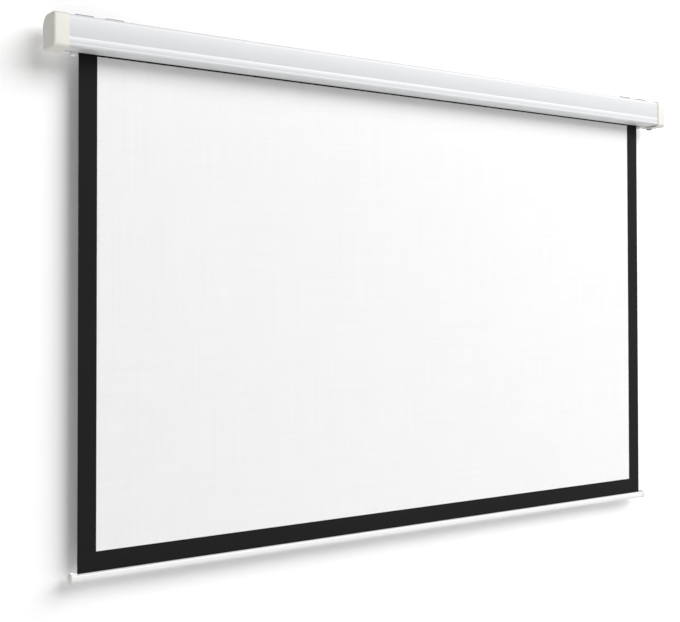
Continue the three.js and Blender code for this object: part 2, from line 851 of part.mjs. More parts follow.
function bentPlate() {
  const shape = new THREE.Shape();
  const inner = bendRadius - bracketPlate;
  shape.moveTo(-bracketLowFlange, bracketBottom);
  shape.absarc(-bendRadius, bracketBottom + bendRadius, bendRadius, -Math.PI / 2, 0);
  shape.absarc(-bendRadius, bracketTop - bendRadius, bendRadius, 0, Math.PI / 2);
  shape.lineTo(-bracketTopFlange, bracketTop);
  shape.lineTo(-bracketTopFlange, bracketTop - bracketPlate);
  shape.absarc(-bendRadius, bracketTop - bendRadius, inner, Math.PI / 2, 0, true);
  shape.absarc(-bendRadius, bracketBottom + bendRadius, inner, 0, -Math.PI / 2, true);
  shape.lineTo(-bracketLowFlange, bracketBottom + bracketPlate);
  return extruded("x", shape, -bracketLength / 2, bracketLength / 2, 4);
}

// A round-ended slot, drawn round (u, v) with its length along the axis named long.
function slotShape(u, v, long) {
  const [halfU, halfV] = long === "u"
    ? [screwSlotLength / 2, screwSlotHalf]
    : [screwSlotHalf, screwSlotLength / 2];
  const radius = screwSlotHalf - seatGap / 2;
  return outline(u - halfU, u + halfU, v - halfV, v + halfV, {
    leftTop: radius,
    rightTop: radius,
    rightBottom: radius,
    leftBottom: radius,
  });
}

function bracket() {
  const slotX = bracketLength / 2 - screwSlotInset;
  const wallSlotZ = (caseTop + bracketTop - bracketPlate) / 2;
  const ceilingSlotY = -(bracketTopFlange + bendRadius) / 2;
  const lipTop = railHeight + railReach + slideGap;
  const clawTop = lipTop + clawThickness;
  const clawDrop = clawTop - railHeight - slideGap;
  const clawX = bracketLength / 2 - clawInset;
  const claws = [-clawX, clawX].flatMap((x) => [
    block(x - clawWidth / 2, x + clawWidth / 2, clawFront, -bracketPlate / 2, lipTop, clawTop),
    block(x - clawWidth / 2, x + clawWidth / 2, clawFront, clawBack, railHeight + slideGap, clawTop),
  ]);
  const windows = [-clawX, clawX].map((x) =>
    block(
      x - clawWidth / 2, x + clawWidth / 2, -bracketPlate - seatGap, overrun, lipTop - clawDrop, lipTop,
    ),
  );
  const slots = [-slotX, slotX].flatMap((x) => [
    extruded("y", slotShape(wallSlotZ, x, "v"), -bracketPlate - overrun, overrun, 4),
    extruded("z", slotShape(x, ceilingSlotY, "u"), bracketTop - bracketPlate - overrun, bracketTop + overrun, 4),
  ]);
  const gap = block(
    -tabGap / 2, tabGap / 2, -bracketTopFlange - overrun, overrun, bracketTop - bendRadius, bracketTop + overrun,
  );
  const clampHole = rod(
    "z", 0, clampY, clampScrew.shankRadius + seatGap, bracketBottom - overrun, bracketBottom + overrun, 10,
  );
  return cut(join(bentPlate(), ...claws), ...windows, ...slots, gap, clampHole);
}

function bracketClamp() {
  const lipEnd = -(railHeight + railReach + slideGap);
  const hook = block(-clampWidth / 2, clampWidth / 2, clawFront, clawBack, lipEnd - overrun / 2, -railHeight - slideGap);
  const body = block(
    -clampWidth / 2, clampWidth / 2, clawFront, -bracketPlate - seatGap, lipEnd - clampBlock, lipEnd,
  );
  const bore = rod(
    "z", 0, clampY, clampScrew.shankRadius + seatGap,
    lipEnd - clampBlock - overrun, lipEnd - clampBlock + clampBoreDepth, 10,
  );
  return join(hook, body).subtract(bore);
}

function bracketClampScrew() {
  const { shankRadius, headRadius, headHeight } = clampScrew;
  const seat = bracketBottom - seatGap;
  const tip = -(railHeight + railReach + slideGap) - clampBlock + clampBoreDepth - seatGap;
  return turned(
    "z",
    [
      [0, seat - headHeight],
      [headRadius, seat - headHeight],
      [headRadius, seat],
      [shankRadius, seat],
      [shankRadius, tip - shankRadius],
      [0, tip],
    ],
    12,
  );
}

// Assembly

const screen = new THREE.Group();

addPiece(screen, "case_profile", caseProfile(), paintedCase);
addPiece(screen, "viewing_surface", hangingSheet(), whiteScreen);
addPiece(screen, "side_border_right", sideBorder(), blackScreen);
addPiece(screen, "side_border_left", sideBorder(), blackScreen).scale.x = -1;

// The two ends mirror each other: each group's x axis points out of the case.
function endGroup(side) {
  const group = new THREE.Group();
  group.position.x = side * caseEnd;
  group.scale.x = side;
  screen.add(group);
  return group;
}

function rollerAxisGroup(parent) {
  const group = new THREE.Group();
  group.position.set(0, rollerY, rollerZ);
  parent.add(group);
  return group;
}

function addEndScrews(group, side) {
  channels.forEach(({ y, z }, i) => {
    const piece = screw(plateScrew, plateOuter - plateScrew.length, plateOuter + seatGap);
    addPiece(group, `plate_screw_${side}_${i + 1}`, piece, zincSteel).position.set(0, y, z);
  });
  postPlaces.forEach(({ y, z }, i) => {
    const piece = screw(capScrew, plateInner - capScrew.pastPlate, capReach - counterboreDepth + seatGap);
    addPiece(group, `cap_screw_${side}_${i + 1}`, piece, zincSteel).position.set(0, y, z);
  });
}

const leftEnd = endGroup(-1);
const pinHole = rod("x", rollerY, rollerZ, pinRadius + seatGap, -overrun, overrun, 20);
addPiece(leftEnd, "end_cap_left", endCap(), ivoryPlastic);
addPiece(leftEnd, "end_plate_left", endPlate(pinHole), zincSteel);
addPiece(leftEnd, "slot_plug_left", slotPlug(), whitePlastic);
addEndScrews(leftEnd, "left");

const leftAxis = rollerAxisGroup(leftEnd);
addPiece(leftAxis, "idler_pin", idlerPin(), bareSteel);
addPiece(leftAxis, "idler_nut", idlerNut(), zincSteel);
addPiece(leftAxis, "idler_bush", idlerBush(), bronze);
addPiece(leftAxis, "idler_plug", idlerPlug(), blackPlastic);

const rightEnd = endGroup(1);
const studHole = block(
  -overrun, overrun,
  rollerY - studHalf - seatGap, rollerY + studHalf + seatGap,
  rollerZ - studHalf - seatGap, rollerZ + studHalf + seatGap,
);
const accessHoles = limitPlaces.map(({ y, z }) =>
  rod("x", rollerY + y, rollerZ + z, accessRadius, -overrun, capReach + overrun, 12),
);
const grommetHole = rod(
  "z", grommetX, grommetY, grommetNeck + seatGap, capUnderside - overrun, capInnerFloor + seatGap, 20,
);
addPiece(rightEnd, "end_cap_right", cut(endCap(), ...accessHoles, grommetHole), ivoryPlastic);
addPiece(rightEnd, "end_plate_right", endPlate(studHole, ...accessHoles), zincSteel);
addPiece(rightEnd, "slot_plug_right", slotPlug(), whitePlastic);
addPiece(rightEnd, "cable_grommet", cableGrommet(), greyRubber).position.set(grommetX, grommetY, 0);
addEndScrews(rightEnd, "right");

const rightAxis = rollerAxisGroup(rightEnd);
addPiece(rightAxis, "motor_head", motorHead(), blackPlastic);
addPiece(rightAxis, "motor_clip", motorClip(), zincSteel);
addPiece(rightAxis, "motor_tube", motorTube(), bareSteel);
addPiece(rightAxis, "gearbox", gearbox(), bareSteel);
addPiece(rightAxis, "output_shaft", outputShaft(), bareSteel);
addPiece(rightAxis, "drive_wheel", driveWheel(), blackPlastic);
addPiece(rightAxis, "limit_crown", limitCrown(), blackPlastic);
["limit_screw_up", "limit_screw_down"].forEach((name, i) => {
  const { y, z } = limitPlaces[i];
  addPiece(rightAxis, name, limitScrew(), whitePlastic).position.set(0, y, z);
});

const roller = rollerAxisGroup(screen);
addPiece(roller, "roller_tube", rollerTube(), bareAluminium);
addPiece(roller, "fabric_wraps", fabricWraps(), whiteScreen);
addPiece(roller, "fabric_lock_strip", fabricLockStrip(), whitePlastic);

const bar = new THREE.Group();
bar.position.set(0, hangingLine, barTop);
screen.add(bar);
addPiece(bar, "bottom_bar", bottomBar(), whiteBar);
addPiece(bar, "bottom_border", bottomBorder(), blackScreen);
addPiece(bar, "hem_rod", hemRod(), whitePlastic);
addPiece(bar, "weight_rod", weightRod(), bareSteel);
addPiece(bar, "bar_cap_right", barCap(), whitePlastic);
addPiece(bar, "bar_cap_left", barCap(), whitePlastic).scale.x = -1;

const leftBracketInset = 117;
const rightBracketInset = 78;
const brackets = { left: leftBracketInset - caseEnd, right: caseEnd - rightBracketInset };
for (const [side, x] of Object.entries(brackets)) {
  const group = new THREE.Group();
  group.position.x = x;
  screen.add(group);
  addPiece(group, `bracket_${side}`, bracket(), zincSteel);
  addPiece(group, `bracket_clamp_${side}`, bracketClamp(), zincSteel);
  addPiece(group, `clamp_screw_${side}`, bracketClampScrew(), zincSteel).position.y = clampY;
}

export default screen;
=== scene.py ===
import json
import math

import bmesh
import bpy
from mathutils import Matrix, Vector


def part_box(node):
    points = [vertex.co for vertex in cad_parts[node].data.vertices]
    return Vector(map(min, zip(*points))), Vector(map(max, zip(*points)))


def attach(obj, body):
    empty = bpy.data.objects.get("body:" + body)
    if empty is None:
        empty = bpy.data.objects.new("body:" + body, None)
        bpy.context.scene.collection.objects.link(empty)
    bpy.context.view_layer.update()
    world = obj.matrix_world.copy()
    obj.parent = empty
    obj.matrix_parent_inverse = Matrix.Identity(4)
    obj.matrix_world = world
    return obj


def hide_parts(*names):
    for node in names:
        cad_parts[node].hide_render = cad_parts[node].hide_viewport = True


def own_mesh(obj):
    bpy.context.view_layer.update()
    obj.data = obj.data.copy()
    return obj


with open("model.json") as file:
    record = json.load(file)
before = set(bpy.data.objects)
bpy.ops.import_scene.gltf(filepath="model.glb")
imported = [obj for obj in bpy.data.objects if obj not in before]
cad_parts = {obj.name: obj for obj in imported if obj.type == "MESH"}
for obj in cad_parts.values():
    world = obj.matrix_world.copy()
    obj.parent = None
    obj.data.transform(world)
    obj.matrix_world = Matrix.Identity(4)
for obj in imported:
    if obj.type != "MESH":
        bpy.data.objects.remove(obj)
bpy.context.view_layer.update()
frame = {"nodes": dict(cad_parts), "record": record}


# Camera, at the photograph's angle
cameraView = {
    "place": (-2.1681, -2.7305, -0.6623),
    "turn": 35.364,  # degrees to the right of straight at the wall
    "tilt": 1.047,
    "roll": -0.083,
    "lens": 60.52,
    "sensor": 36,
    "shiftY": -0.0462,
    "reach": 60,
}


def makeCamera(v):
    data = bpy.data.cameras.new("camera")
    data.lens = v["lens"]
    data.sensor_width = v["sensor"]
    data.shift_y = v["shiftY"]
    data.clip_end = v["reach"]
    camera = bpy.data.objects.new("camera", data)
    turn = Matrix.Rotation(math.radians(-v["turn"]), 4, "Z")
    tilt = Matrix.Rotation(math.radians(90 + v["tilt"]), 4, "X")
    roll = Matrix.Rotation(math.radians(v["roll"]), 4, "Z")
    camera.matrix_world = Matrix.Translation(v["place"]) @ turn @ tilt @ roll
    bpy.context.collection.objects.link(camera)
    bpy.context.scene.camera = camera


makeCamera(cameraView)
print("camera placed")


# Node helpers
def newGroup(name, inputs, outputs):
    group = bpy.data.node_groups.new(name, "ShaderNodeTree")
    for label, (kind, value) in inputs.items():
        socket = group.interface.new_socket(name=label, in_out="INPUT", socket_type=kind)
        socket.default_value = value
    for label, kind in outputs.items():
        group.interface.new_socket(name=label, in_out="OUTPUT", socket_type=kind)
    return group, group.nodes.new("NodeGroupInput"), group.nodes.new("NodeGroupOutput")


def addNode(tree, kind, **settings):
    node = tree.nodes.new(kind)
    for label, value in settings.items():
        if hasattr(node, label):
            setattr(node, label, value)
        else:
            node.inputs[label.replace("_", " ")].default_value = value
    return node


def mathNode(tree, operation, first, second):
    node = addNode(tree, "ShaderNodeMath", operation=operation)
    for socket, value in zip(node.inputs, (first, second)):
        if isinstance(value, (int, float)):
            socket.default_value = value
        else:
            tree.links.new(value, socket)
    return node.outputs["Value"]


numberIn = "NodeSocketFloat"
vectorIn = "NodeSocketVector"
colourIn = "NodeSocketColor"


# Colour that drifts a little over the surface
def makeToneDrift():
    group, start, end = newGroup(
        "tone drift",
        {
            "Colour": (colourIn, (1, 1, 1, 1)),
            "Place": (vectorIn, (0, 0, 0)),
            "Scale": (numberIn, 8),
            "Amount": (numberIn, 0.03),
        },
        {"Colour": colourIn},
    )
    noise = addNode(group, "ShaderNodeTexNoise", Detail=3, Roughness=0.6)
    tone = addNode(group, "ShaderNodeHueSaturation")
    group.links.new(start.outputs["Place"], noise.inputs["Vector"])
    group.links.new(start.outputs["Scale"], noise.inputs["Scale"])
    centred = mathNode(group, "SUBTRACT", noise.outputs["Fac"], 0.5)
    swing = mathNode(group, "MULTIPLY", centred, start.outputs["Amount"])
    value = mathNode(group, "ADD", mathNode(group, "MULTIPLY", swing, 2), 1)
    group.links.new(value, tone.inputs["Value"])
    group.links.new(start.outputs["Colour"], tone.inputs["Color"])
    group.links.new(tone.outputs["Color"], end.inputs["Colour"])
    return group


# Fine grain of a coat of paint or of a moulding, and how it changes the gloss
def makeSurfaceGrain():
    group, start, end = newGroup(
        "surface grain",
        {
            "Place": (vectorIn, (0, 0, 0)),
            "Scale": (numberIn, 900),
            "Gloss": (numberIn, 0.4),
            "Spread": (numberIn, 0.08),
        },
        {"Height": numberIn, "Roughness": numberIn},
    )
    fine = addNode(group, "ShaderNodeTexNoise", Detail=2, Roughness=0.5)
    patches = addNode(group, "ShaderNodeTexNoise", Scale=14, Detail=3, Roughness=0.6)
    group.links.new(start.outputs["Place"], fine.inputs["Vector"])
    group.links.new(start.outputs["Scale"], fine.inputs["Scale"])
    group.links.new(start.outputs["Place"], patches.inputs["Vector"])
    centred = mathNode(group, "SUBTRACT", patches.outputs["Fac"], 0.5)
    swing = mathNode(group, "MULTIPLY", centred, start.outputs["Spread"])
    group.links.new(fine.outputs["Fac"], end.inputs["Height"])
    group.links.new(mathNode(group, "ADD", start.outputs["Gloss"], swing), end.inputs["Roughness"])
    return group


# Lines that drawing or rolling leaves along the metal
def makeDrawnLines():
    group, start, end = newGroup(
        "drawn lines",
        {
            "Place": (vectorIn, (0, 0, 0)),
            "Scale": (numberIn, 1200),
            "Gloss": (numberIn, 0.35),
            "Spread": (numberIn, 0.2),
        },
        {"Height": numberIn, "Roughness": numberIn},
    )
    stretch = addNode(group, "ShaderNodeMapping", Scale=(0.02, 1, 1))
    lines = addNode(group, "ShaderNodeTexNoise", Detail=4, Roughness=0.65)
    group.links.new(start.outputs["Place"], stretch.inputs["Vector"])
    group.links.new(stretch.outputs["Vector"], lines.inputs["Vector"])
    group.links.new(start.outputs["Scale"], lines.inputs["Scale"])
    centred = mathNode(group, "SUBTRACT", lines.outputs["Fac"], 0.5)
    swing = mathNode(group, "MULTIPLY", centred, start.outputs["Spread"])
    group.links.new(lines.outputs["Fac"], end.inputs["Height"])
    group.links.new(mathNode(group, "ADD", start.outputs["Gloss"], swing), end.inputs["Roughness"])
    return group


# Threads that cross under the coat of a cloth, and faint streaks along them
def makeClothWeave():
    group, start, end = newGroup(
        "cloth weave",
        {"Place": (vectorIn, (0, 0, 0)), "Threads": (numberIn, 330), "Streaks": (numberIn, 0.02)},
        {"Height": numberIn, "Tone": numberIn},
    )
    streaks = []
    for scale in ((1, 0.02, 1), (0.02, 1, 1)):
        stretch = addNode(group, "ShaderNodeMapping", Scale=scale)
        threads = addNode(group, "ShaderNodeTexNoise", Scale=130, Detail=4, Roughness=0.7)
        group.links.new(start.outputs["Place"], stretch.inputs["Vector"])
        group.links.new(stretch.outputs["Vector"], threads.inputs["Vector"])
        streaks.append(threads.outputs["Fac"])
    uneven = mathNode(group, "SUBTRACT", mathNode(group, "ADD", *streaks), 1)
    uneven = mathNode(group, "MULTIPLY", uneven, start.outputs["Streaks"])
    group.links.new(mathNode(group, "ADD", uneven, 1), end.inputs["Tone"])
    across = addNode(group, "ShaderNodeTexWave", bands_direction="X", Distortion=0.6, Detail=1)
    along = addNode(group, "ShaderNodeTexWave", bands_direction="Y", Distortion=0.6, Detail=1)
    for wave in (across, along):
        group.links.new(start.outputs["Place"], wave.inputs["Vector"])
        group.links.new(start.outputs["Threads"], wave.inputs["Scale"])
    slubs = addNode(group, "ShaderNodeTexNoise", Scale=260, Detail=2)
    group.links.new(start.outputs["Place"], slubs.inputs["Vector"])
    crossed = mathNode(group, "MAXIMUM", across.outputs["Fac"], along.outputs["Fac"])
    group.links.new(mathNode(group, "ADD", crossed, slubs.outputs["Fac"]), end.inputs["Height"])
    return group


# Dust that settles in patches on whatever faces up
def makeSettledDust():
    group, start, end = newGroup(
        "settled dust",
        {
            "Place": (vectorIn, (0, 0, 0)),
            "Colour": (colourIn, (1, 1, 1, 1)),
            "Roughness": (numberIn, 0.4),
            "Amount": (numberIn, 0.1),
        },
        {"Colour": colourIn, "Roughness": numberIn},
    )
    facing = addNode(group, "ShaderNodeSeparateXYZ")
    group.links.new(addNode(group, "ShaderNodeNewGeometry").outputs["Normal"], facing.inputs["Vector"])
    upward = addNode(group, "ShaderNodeMapRange", From_Min=0.55, From_Max=0.98)
    group.links.new(facing.outputs["Z"], upward.inputs["Value"])
    patches = addNode(group, "ShaderNodeTexNoise", Scale=38, Detail=5, Roughness=0.7)
    group.links.new(start.outputs["Place"], patches.inputs["Vector"])
    amount = mathNode(group, "MULTIPLY", upward.outputs["Result"], patches.outputs["Fac"])
    amount = mathNode(group, "MULTIPLY", amount, start.outputs["Amount"])
    mix = addNode(group, "ShaderNodeMix", data_type="RGBA")
    group.links.new(amount, mix.inputs["Factor"])
    group.links.new(start.outputs["Colour"], mix.inputs["A"])
    mix.inputs["B"].default_value = (0.42, 0.4, 0.37, 1)
    group.links.new(mix.outputs["Result"], end.inputs["Colour"])
    group.links.new(mathNode(group, "ADD", start.outputs["Roughness"], amount), end.inputs["Roughness"])
    return group


toneDrift = makeToneDrift()
surfaceGrain = makeSurfaceGrain()
drawnLines = makeDrawnLines()
clothWeave = makeClothWeave()
settledDust = makeSettledDust()


def useGroup(tree, group, place, **values):
    node = addNode(tree, "ShaderNodeGroup", node_tree=group)
    for label, value in values.items():
        node.inputs[label].default_value = value
    tree.links.new(place, node.inputs["Place"])
    return node


# Finishes: one for each of the record's material slots, and a darker copy of the zinc for the brackets, with
# painted shade in its colour
finishes = {
    "case_paint": {
        "colour": (0.71, 0.715, 0.73), "gloss": 0.36,
        "scale": 1100, "depth": 0.00003, "drift": 0.012, "dust": 0.25,
    },
    "bar_paint": {
        "colour": (0.88, 0.88, 0.88), "gloss": 0.34,
        "scale": 1100, "depth": 0.00003, "drift": 0.012, "dust": 0.2,
    },
    "cap_plastic": {
        "colour": (0.79, 0.77, 0.72), "gloss": 0.48,
        "scale": 2200, "depth": 0.00004, "drift": 0.02, "dust": 0.25,
    },
    "white_plastic": {
        "colour": (0.84, 0.84, 0.82), "gloss": 0.46,
        "scale": 2200, "depth": 0.00004, "drift": 0.02,
    },
    "black_plastic": {
        "colour": (0.012, 0.012, 0.013), "gloss": 0.5,
        "scale": 1800, "depth": 0.00006, "drift": 0.1,
    },
    "grey_rubber": {
        "colour": (0.27, 0.28, 0.29), "gloss": 0.7,
        "scale": 1300, "depth": 0.00008, "drift": 0.15,
    },
    "zinc_steel": {
        "colour": (0.56, 0.57, 0.6), "gloss": 0.42,
        "scale": 500, "depth": 0.00002, "drift": 0.08, "metal": 1, "drawn": 1,
    },
    # Darker copy of zinc_steel for the brackets: dull plating, and painted shade for their shaded faces
    "shaded_dull_zinc": {
        "colour": (0.24, 0.245, 0.26), "gloss": 0.52,
        "scale": 500, "depth": 0.00002, "drift": 0.1, "metal": 1, "drawn": 1,
    },
    "bare_steel": {
        "colour": (0.46, 0.46, 0.47), "gloss": 0.3,
        "scale": 900, "depth": 0.00002, "drift": 0.06, "metal": 1, "drawn": 1,
    },
    "bare_aluminium": {
        "colour": (0.72, 0.73, 0.74), "gloss": 0.34,
        "scale": 800, "depth": 0.00002, "drift": 0.04, "metal": 1, "drawn": 1,
    },
    "bronze": {
        "colour": (0.5, 0.32, 0.12), "gloss": 0.42,
        "scale": 1500, "depth": 0.00005, "drift": 0.12, "metal": 1,
    },
    "screen_white": {
        "colour": (0.9, 0.9, 0.9), "gloss": 0.9,
        "scale": 330, "depth": 0.00006, "drift": 0.01,
        "cloth": 1, "streaks": 0.07, "backing": (0.014, 0.014, 0.015),
    },
    "screen_black": {
        "colour": (0.005, 0.005, 0.005), "gloss": 0.85,
        "scale": 330, "depth": 0.00006, "drift": 0.06, "cloth": 1, "streaks": 0.3,
    },
}


def makeFinish(name, v):
    material = bpy.data.materials.new(name)
    material.use_nodes = True
    tree = material.node_tree
    shader = tree.nodes["Principled BSDF"]
    place = addNode(tree, "ShaderNodeTexCoord").outputs["UV" if v.get("cloth") else "Object"]
    tone = useGroup(tree, toneDrift, place, Colour=(*v["colour"], 1), Amount=v["drift"])
    if v.get("cloth"):
        grain = useGroup(tree, clothWeave, place, Threads=v["scale"], Streaks=v["streaks"])
        shader.inputs["Roughness"].default_value = v["gloss"]
        shader.inputs["Specular IOR Level"].default_value = 0.2
    else:
        group = drawnLines if v.get("drawn") else surfaceGrain
        grain = useGroup(tree, group, place, Scale=v["scale"], Gloss=v["gloss"])
        tree.links.new(grain.outputs["Roughness"], shader.inputs["Roughness"])
    colour = tone.outputs["Colour"]
    if v.get("cloth"):
        threads = addNode(tree, "ShaderNodeHueSaturation")
        tree.links.new(grain.outputs["Tone"], threads.inputs["Value"])
        tree.links.new(colour, threads.inputs["Color"])
        colour = threads.outputs["Color"]
    if v.get("backing"):
        coat = addNode(tree, "ShaderNodeMix", data_type="RGBA")
        side = addNode(tree, "ShaderNodeAttribute", attribute_name="backing")
        tree.links.new(side.outputs["Fac"], coat.inputs["Factor"])
        tree.links.new(colour, coat.inputs["A"])
        coat.inputs["B"].default_value = (*v["backing"], 1)
        colour = coat.outputs["Result"]
    if v.get("dust"):
        dust = useGroup(tree, settledDust, place, Amount=v["dust"])
        tree.links.new(colour, dust.inputs["Colour"])
        tree.links.new(grain.outputs["Roughness"], dust.inputs["Roughness"])
        tree.links.new(dust.outputs["Roughness"], shader.inputs["Roughness"])
        colour = dust.outputs["Colour"]
    shader.inputs["Metallic"].default_value = v.get("metal", 0)
    bump = addNode(tree, "ShaderNodeBump", Distance=v["depth"])
    tree.links.new(grain.outputs["Height"], bump.inputs["Height"])
    tree.links.new(bump.outputs["Normal"], shader.inputs["Normal"])
    tree.links.new(colour, shader.inputs["Base Color"])
    return material


finish = {name: makeFinish(name, v) for name, v in finishes.items()}
for part in frame["record"]["subparts"]:
    slots = frame["nodes"][part["node"]].data.materials
    slots.clear()
    slots.append(finish[part["material_slot"]])
print("finishes made")


# Shapes: small helpers round the bmesh operators, all in millimetres until a piece is finished
overrun = 5  # how far a cutter runs past what it cuts
samePlace = 0.01  # what lies closer counts as the same place


def startBox(x, y, z):
    build = bmesh.new()
    bmesh.ops.create_cube(build, size=1)
    spans = (x, y, z)
    bmesh.ops.scale(build, vec=[high - low for low, high in spans], verts=build.verts)
    bmesh.ops.translate(build, vec=[(low + high) / 2 for low, high in spans], verts=build.verts)
    return build


def addBox(build, x, y, z):
    addBuild(build, startBox(x, y, z))


def addBuild(build, other):
    mesh = bpy.data.meshes.new("part")
    other.to_mesh(mesh)
    other.free()
    build.from_mesh(mesh)
    bpy.data.meshes.remove(mesh)


def roundEdges(build, edges, radius, segments):
    bmesh.ops.bevel(
        build, geom=edges, offset=radius, offset_type="OFFSET", segments=segments,
        profile=0.5, affect="EDGES", material=-1, clamp_overlap=True,
    )


def edgesWhere(build, test):
    return [edge for edge in build.edges if all(test(v.co) for v in edge.verts)]


def facesWhere(build, test):
    return [face for face in build.faces if test(face.calc_center_median(), face.normal)]


def near(value, target):
    return abs(value - target) < samePlace


def cutAcross(build, faces, place, normal):
    geom = set(faces)
    for face in faces:
        geom.update(face.edges)
        geom.update(face.verts)
    bmesh.ops.bisect_plane(build, geom=list(geom), plane_co=place, plane_no=normal)


def pull(build, edges, move):
    made = bmesh.ops.extrude_edge_only(build, edges=edges)["geom"]
    verts = [item for item in made if isinstance(item, bmesh.types.BMVert)]
    bmesh.ops.translate(build, vec=move, verts=verts)
    return [item for item in made if isinstance(item, bmesh.types.BMEdge)]


def addRod(build, axis, centre, radius, start, end, sides=32):
    rod = bmesh.new()
    bmesh.ops.create_cone(
        rod, cap_ends=True, segments=sides, radius1=radius, radius2=radius, depth=end - start,
    )
    middle = (start + end) / 2
    if axis == "x":
        bmesh.ops.rotate(rod, matrix=Matrix.Rotation(math.radians(90), 3, "Y"), verts=rod.verts)
        bmesh.ops.translate(rod, vec=(middle, *centre), verts=rod.verts)
    else:
        bmesh.ops.translate(rod, vec=(*centre, middle), verts=rod.verts)
    addBuild(build, rod)


def faceOutwards(build):
    bmesh.ops.recalc_face_normals(build, faces=build.faces)
    highest = max(build.faces, key=lambda face: face.calc_center_median().z)
    if highest.normal.z < 0:
        bmesh.ops.reverse_faces(build, faces=build.faces)


def thicken(build, wall):
    faceOutwards(build)
    bmesh.ops.solidify(build, geom=build.faces[:], thickness=wall)


def finishPiece(name, build, finishName, body, nodes=(), sharpAngle=32):
    bmesh.ops.scale(build, vec=(0.001, 0.001, 0.001), verts=build.verts)
    mesh = bpy.data.meshes.new(name)
    build.to_mesh(mesh)
    build.free()
    mesh.shade_smooth()
    mesh.set_sharp_from_angle(angle=math.radians(sharpAngle))
    mesh.materials.append(finish[finishName])
    piece = bpy.data.objects.new(name, mesh)
    bpy.context.collection.objects.link(piece)
    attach(piece, body)
    if nodes:
        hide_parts(*nodes)
    return piece


def carve(build, cutter, operation="DIFFERENCE"):
    held = []
    for label, shape in (("whole", build), ("cutter", cutter)):
        mesh = bpy.data.meshes.new(label)
        shape.to_mesh(mesh)
        shape.free()
        thing = bpy.data.objects.new(label, mesh)
        bpy.context.collection.objects.link(thing)
        held.append(thing)
    step = held[0].modifiers.new("carve", "BOOLEAN")
    step.operation = operation
    step.solver = "EXACT"
    step.use_self = True
    step.object = held[1]
    bpy.context.view_layer.update()
    carved = bpy.data.meshes.new_from_object(held[0].evaluated_get(bpy.context.evaluated_depsgraph_get()))
    result = bmesh.new()
    result.from_mesh(carved)
    for thing in held:
        bpy.data.meshes.remove(thing.data)
    bpy.data.meshes.remove(carved)
    return result


def mirrored(build):
    other = build.copy()
    bmesh.ops.scale(other, vec=(-1, 1, 1), verts=other.verts)
    bmesh.ops.reverse_faces(other, faces=other.faces)
    return other


def spansOf(node):
    low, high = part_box(node)
    return [(a * 1000, b * 1000) for a, b in zip(low, high)]


def middleOf(node):
    return [(low + high) / 2 for low, high in spansOf(node)]


# Case: one extrusion with a slot underneath, grooves on its front, screw channels and two rails behind
caseSizes = {
    "frontTopRadius": 10,
    "frontLowerRadius": 8,
    "backTopRadius": 28,
    "backLowerRadius": 4,
    "cornerSteps": 12,
    "wall": 1.8,
    "slotMiddle": -24.375,
    "slotWidth": 12,
    "slotLip": 6,
    "grooveHeights": (9.96, 25.98),  # above the underside
    "grooveHalf": 1.0,
    "grooveDepth": 0.4,
    "channelRadius": 4.2,
    "channelWall": 2.5,
    "channelSlit": 1.6,
    "channelSteps": 20,
    "railBack": 5,  # how far the rails stand behind the tube
    "railStem": (18, 20),
    "railTip": 26,
    "railLip": 2,
    "railInset": 16,
}


def makeCase(v):
    (left, right), (front, railEnd), (bottom, top) = spansOf("case_profile")
    back = railEnd - v["railBack"]
    build = startBox((left, right), (front, back), (bottom, top))
    ends = facesWhere(build, lambda place, normal: abs(normal.x) > 0.9)
    bmesh.ops.delete(build, geom=ends, context="FACES")
    corners = (
        (front, top, v["frontTopRadius"]),
        (front, bottom, v["frontLowerRadius"]),
        (back, top, v["backTopRadius"]),
        (back, bottom, v["backLowerRadius"]),
    )
    for y, z, radius in corners:
        corner = edgesWhere(build, lambda p: near(p.y, y) and near(p.z, z))
        roundEdges(build, corner, radius, v["cornerSteps"])
    slotFront = v["slotMiddle"] - v["slotWidth"] / 2
    slotBack = v["slotMiddle"] + v["slotWidth"] / 2
    for y in (slotFront, slotBack):
        floor = facesWhere(build, lambda place, normal: near(place.z, bottom))
        cutAcross(build, floor, (0, y, 0), (0, 1, 0))
    slot = facesWhere(build, lambda place, normal: near(place.z, bottom) and slotFront < place.y < slotBack)
    bmesh.ops.delete(build, geom=slot, context="FACES")
    for y in (slotFront, slotBack):
        lip = edgesWhere(build, lambda p: near(p.z, bottom) and near(p.y, y))
        pull(build, lip, (0, 0, v["slotLip"]))
    for height in v["grooveHeights"]:
        middle = bottom + height
        for z in (middle - v["grooveHalf"], middle, middle + v["grooveHalf"]):
            face = facesWhere(build, lambda place, normal: near(place.y, front))
            cutAcross(build, face, (0, 0, z), (0, 0, 1))
        floor = [p for p in build.verts if near(p.co.y, front) and near(p.co.z, middle)]
        bmesh.ops.translate(build, vec=(0, v["grooveDepth"], 0), verts=floor)
    thicken(build, v["wall"])
    for index in (1, 2, 3, 4):
        addBuild(build, makeChannel(v, left, right, *middleOf(f"plate_screw_left_{index}")[1:]))
    rail = makeRail(v, left + v["railInset"], right - v["railInset"], back, railEnd)
    under = rail.copy()
    bmesh.ops.scale(under, vec=(1, 1, -1), verts=under.verts)
    bmesh.ops.reverse_faces(under, faces=under.faces)
    addBuild(build, rail)
    addBuild(build, under)
    return finishPiece("case_shell", build, "case_paint", "housing", ["case_profile"])


def makeChannel(v, left, right, y, z):
    slit = math.asin(v["channelSlit"] / 2 / v["channelRadius"])
    inwards = 1 if y < v["slotMiddle"] else -1
    build = bmesh.new()
    start = build.verts.new((left, y + inwards * v["channelRadius"], z))
    centre = (left, y, z)
    bmesh.ops.rotate(build, cent=centre, matrix=Matrix.Rotation(slit, 3, "X"), verts=[start])
    bmesh.ops.spin(
        build, geom=[start], cent=centre, axis=(1, 0, 0), dvec=(0, 0, 0),
        angle=2 * math.pi - 2 * slit, steps=v["channelSteps"], use_merge=False, use_duplicate=False,
    )
    pull(build, build.edges[:], (right - left, 0, 0))
    thicken(build, v["channelWall"])
    return build


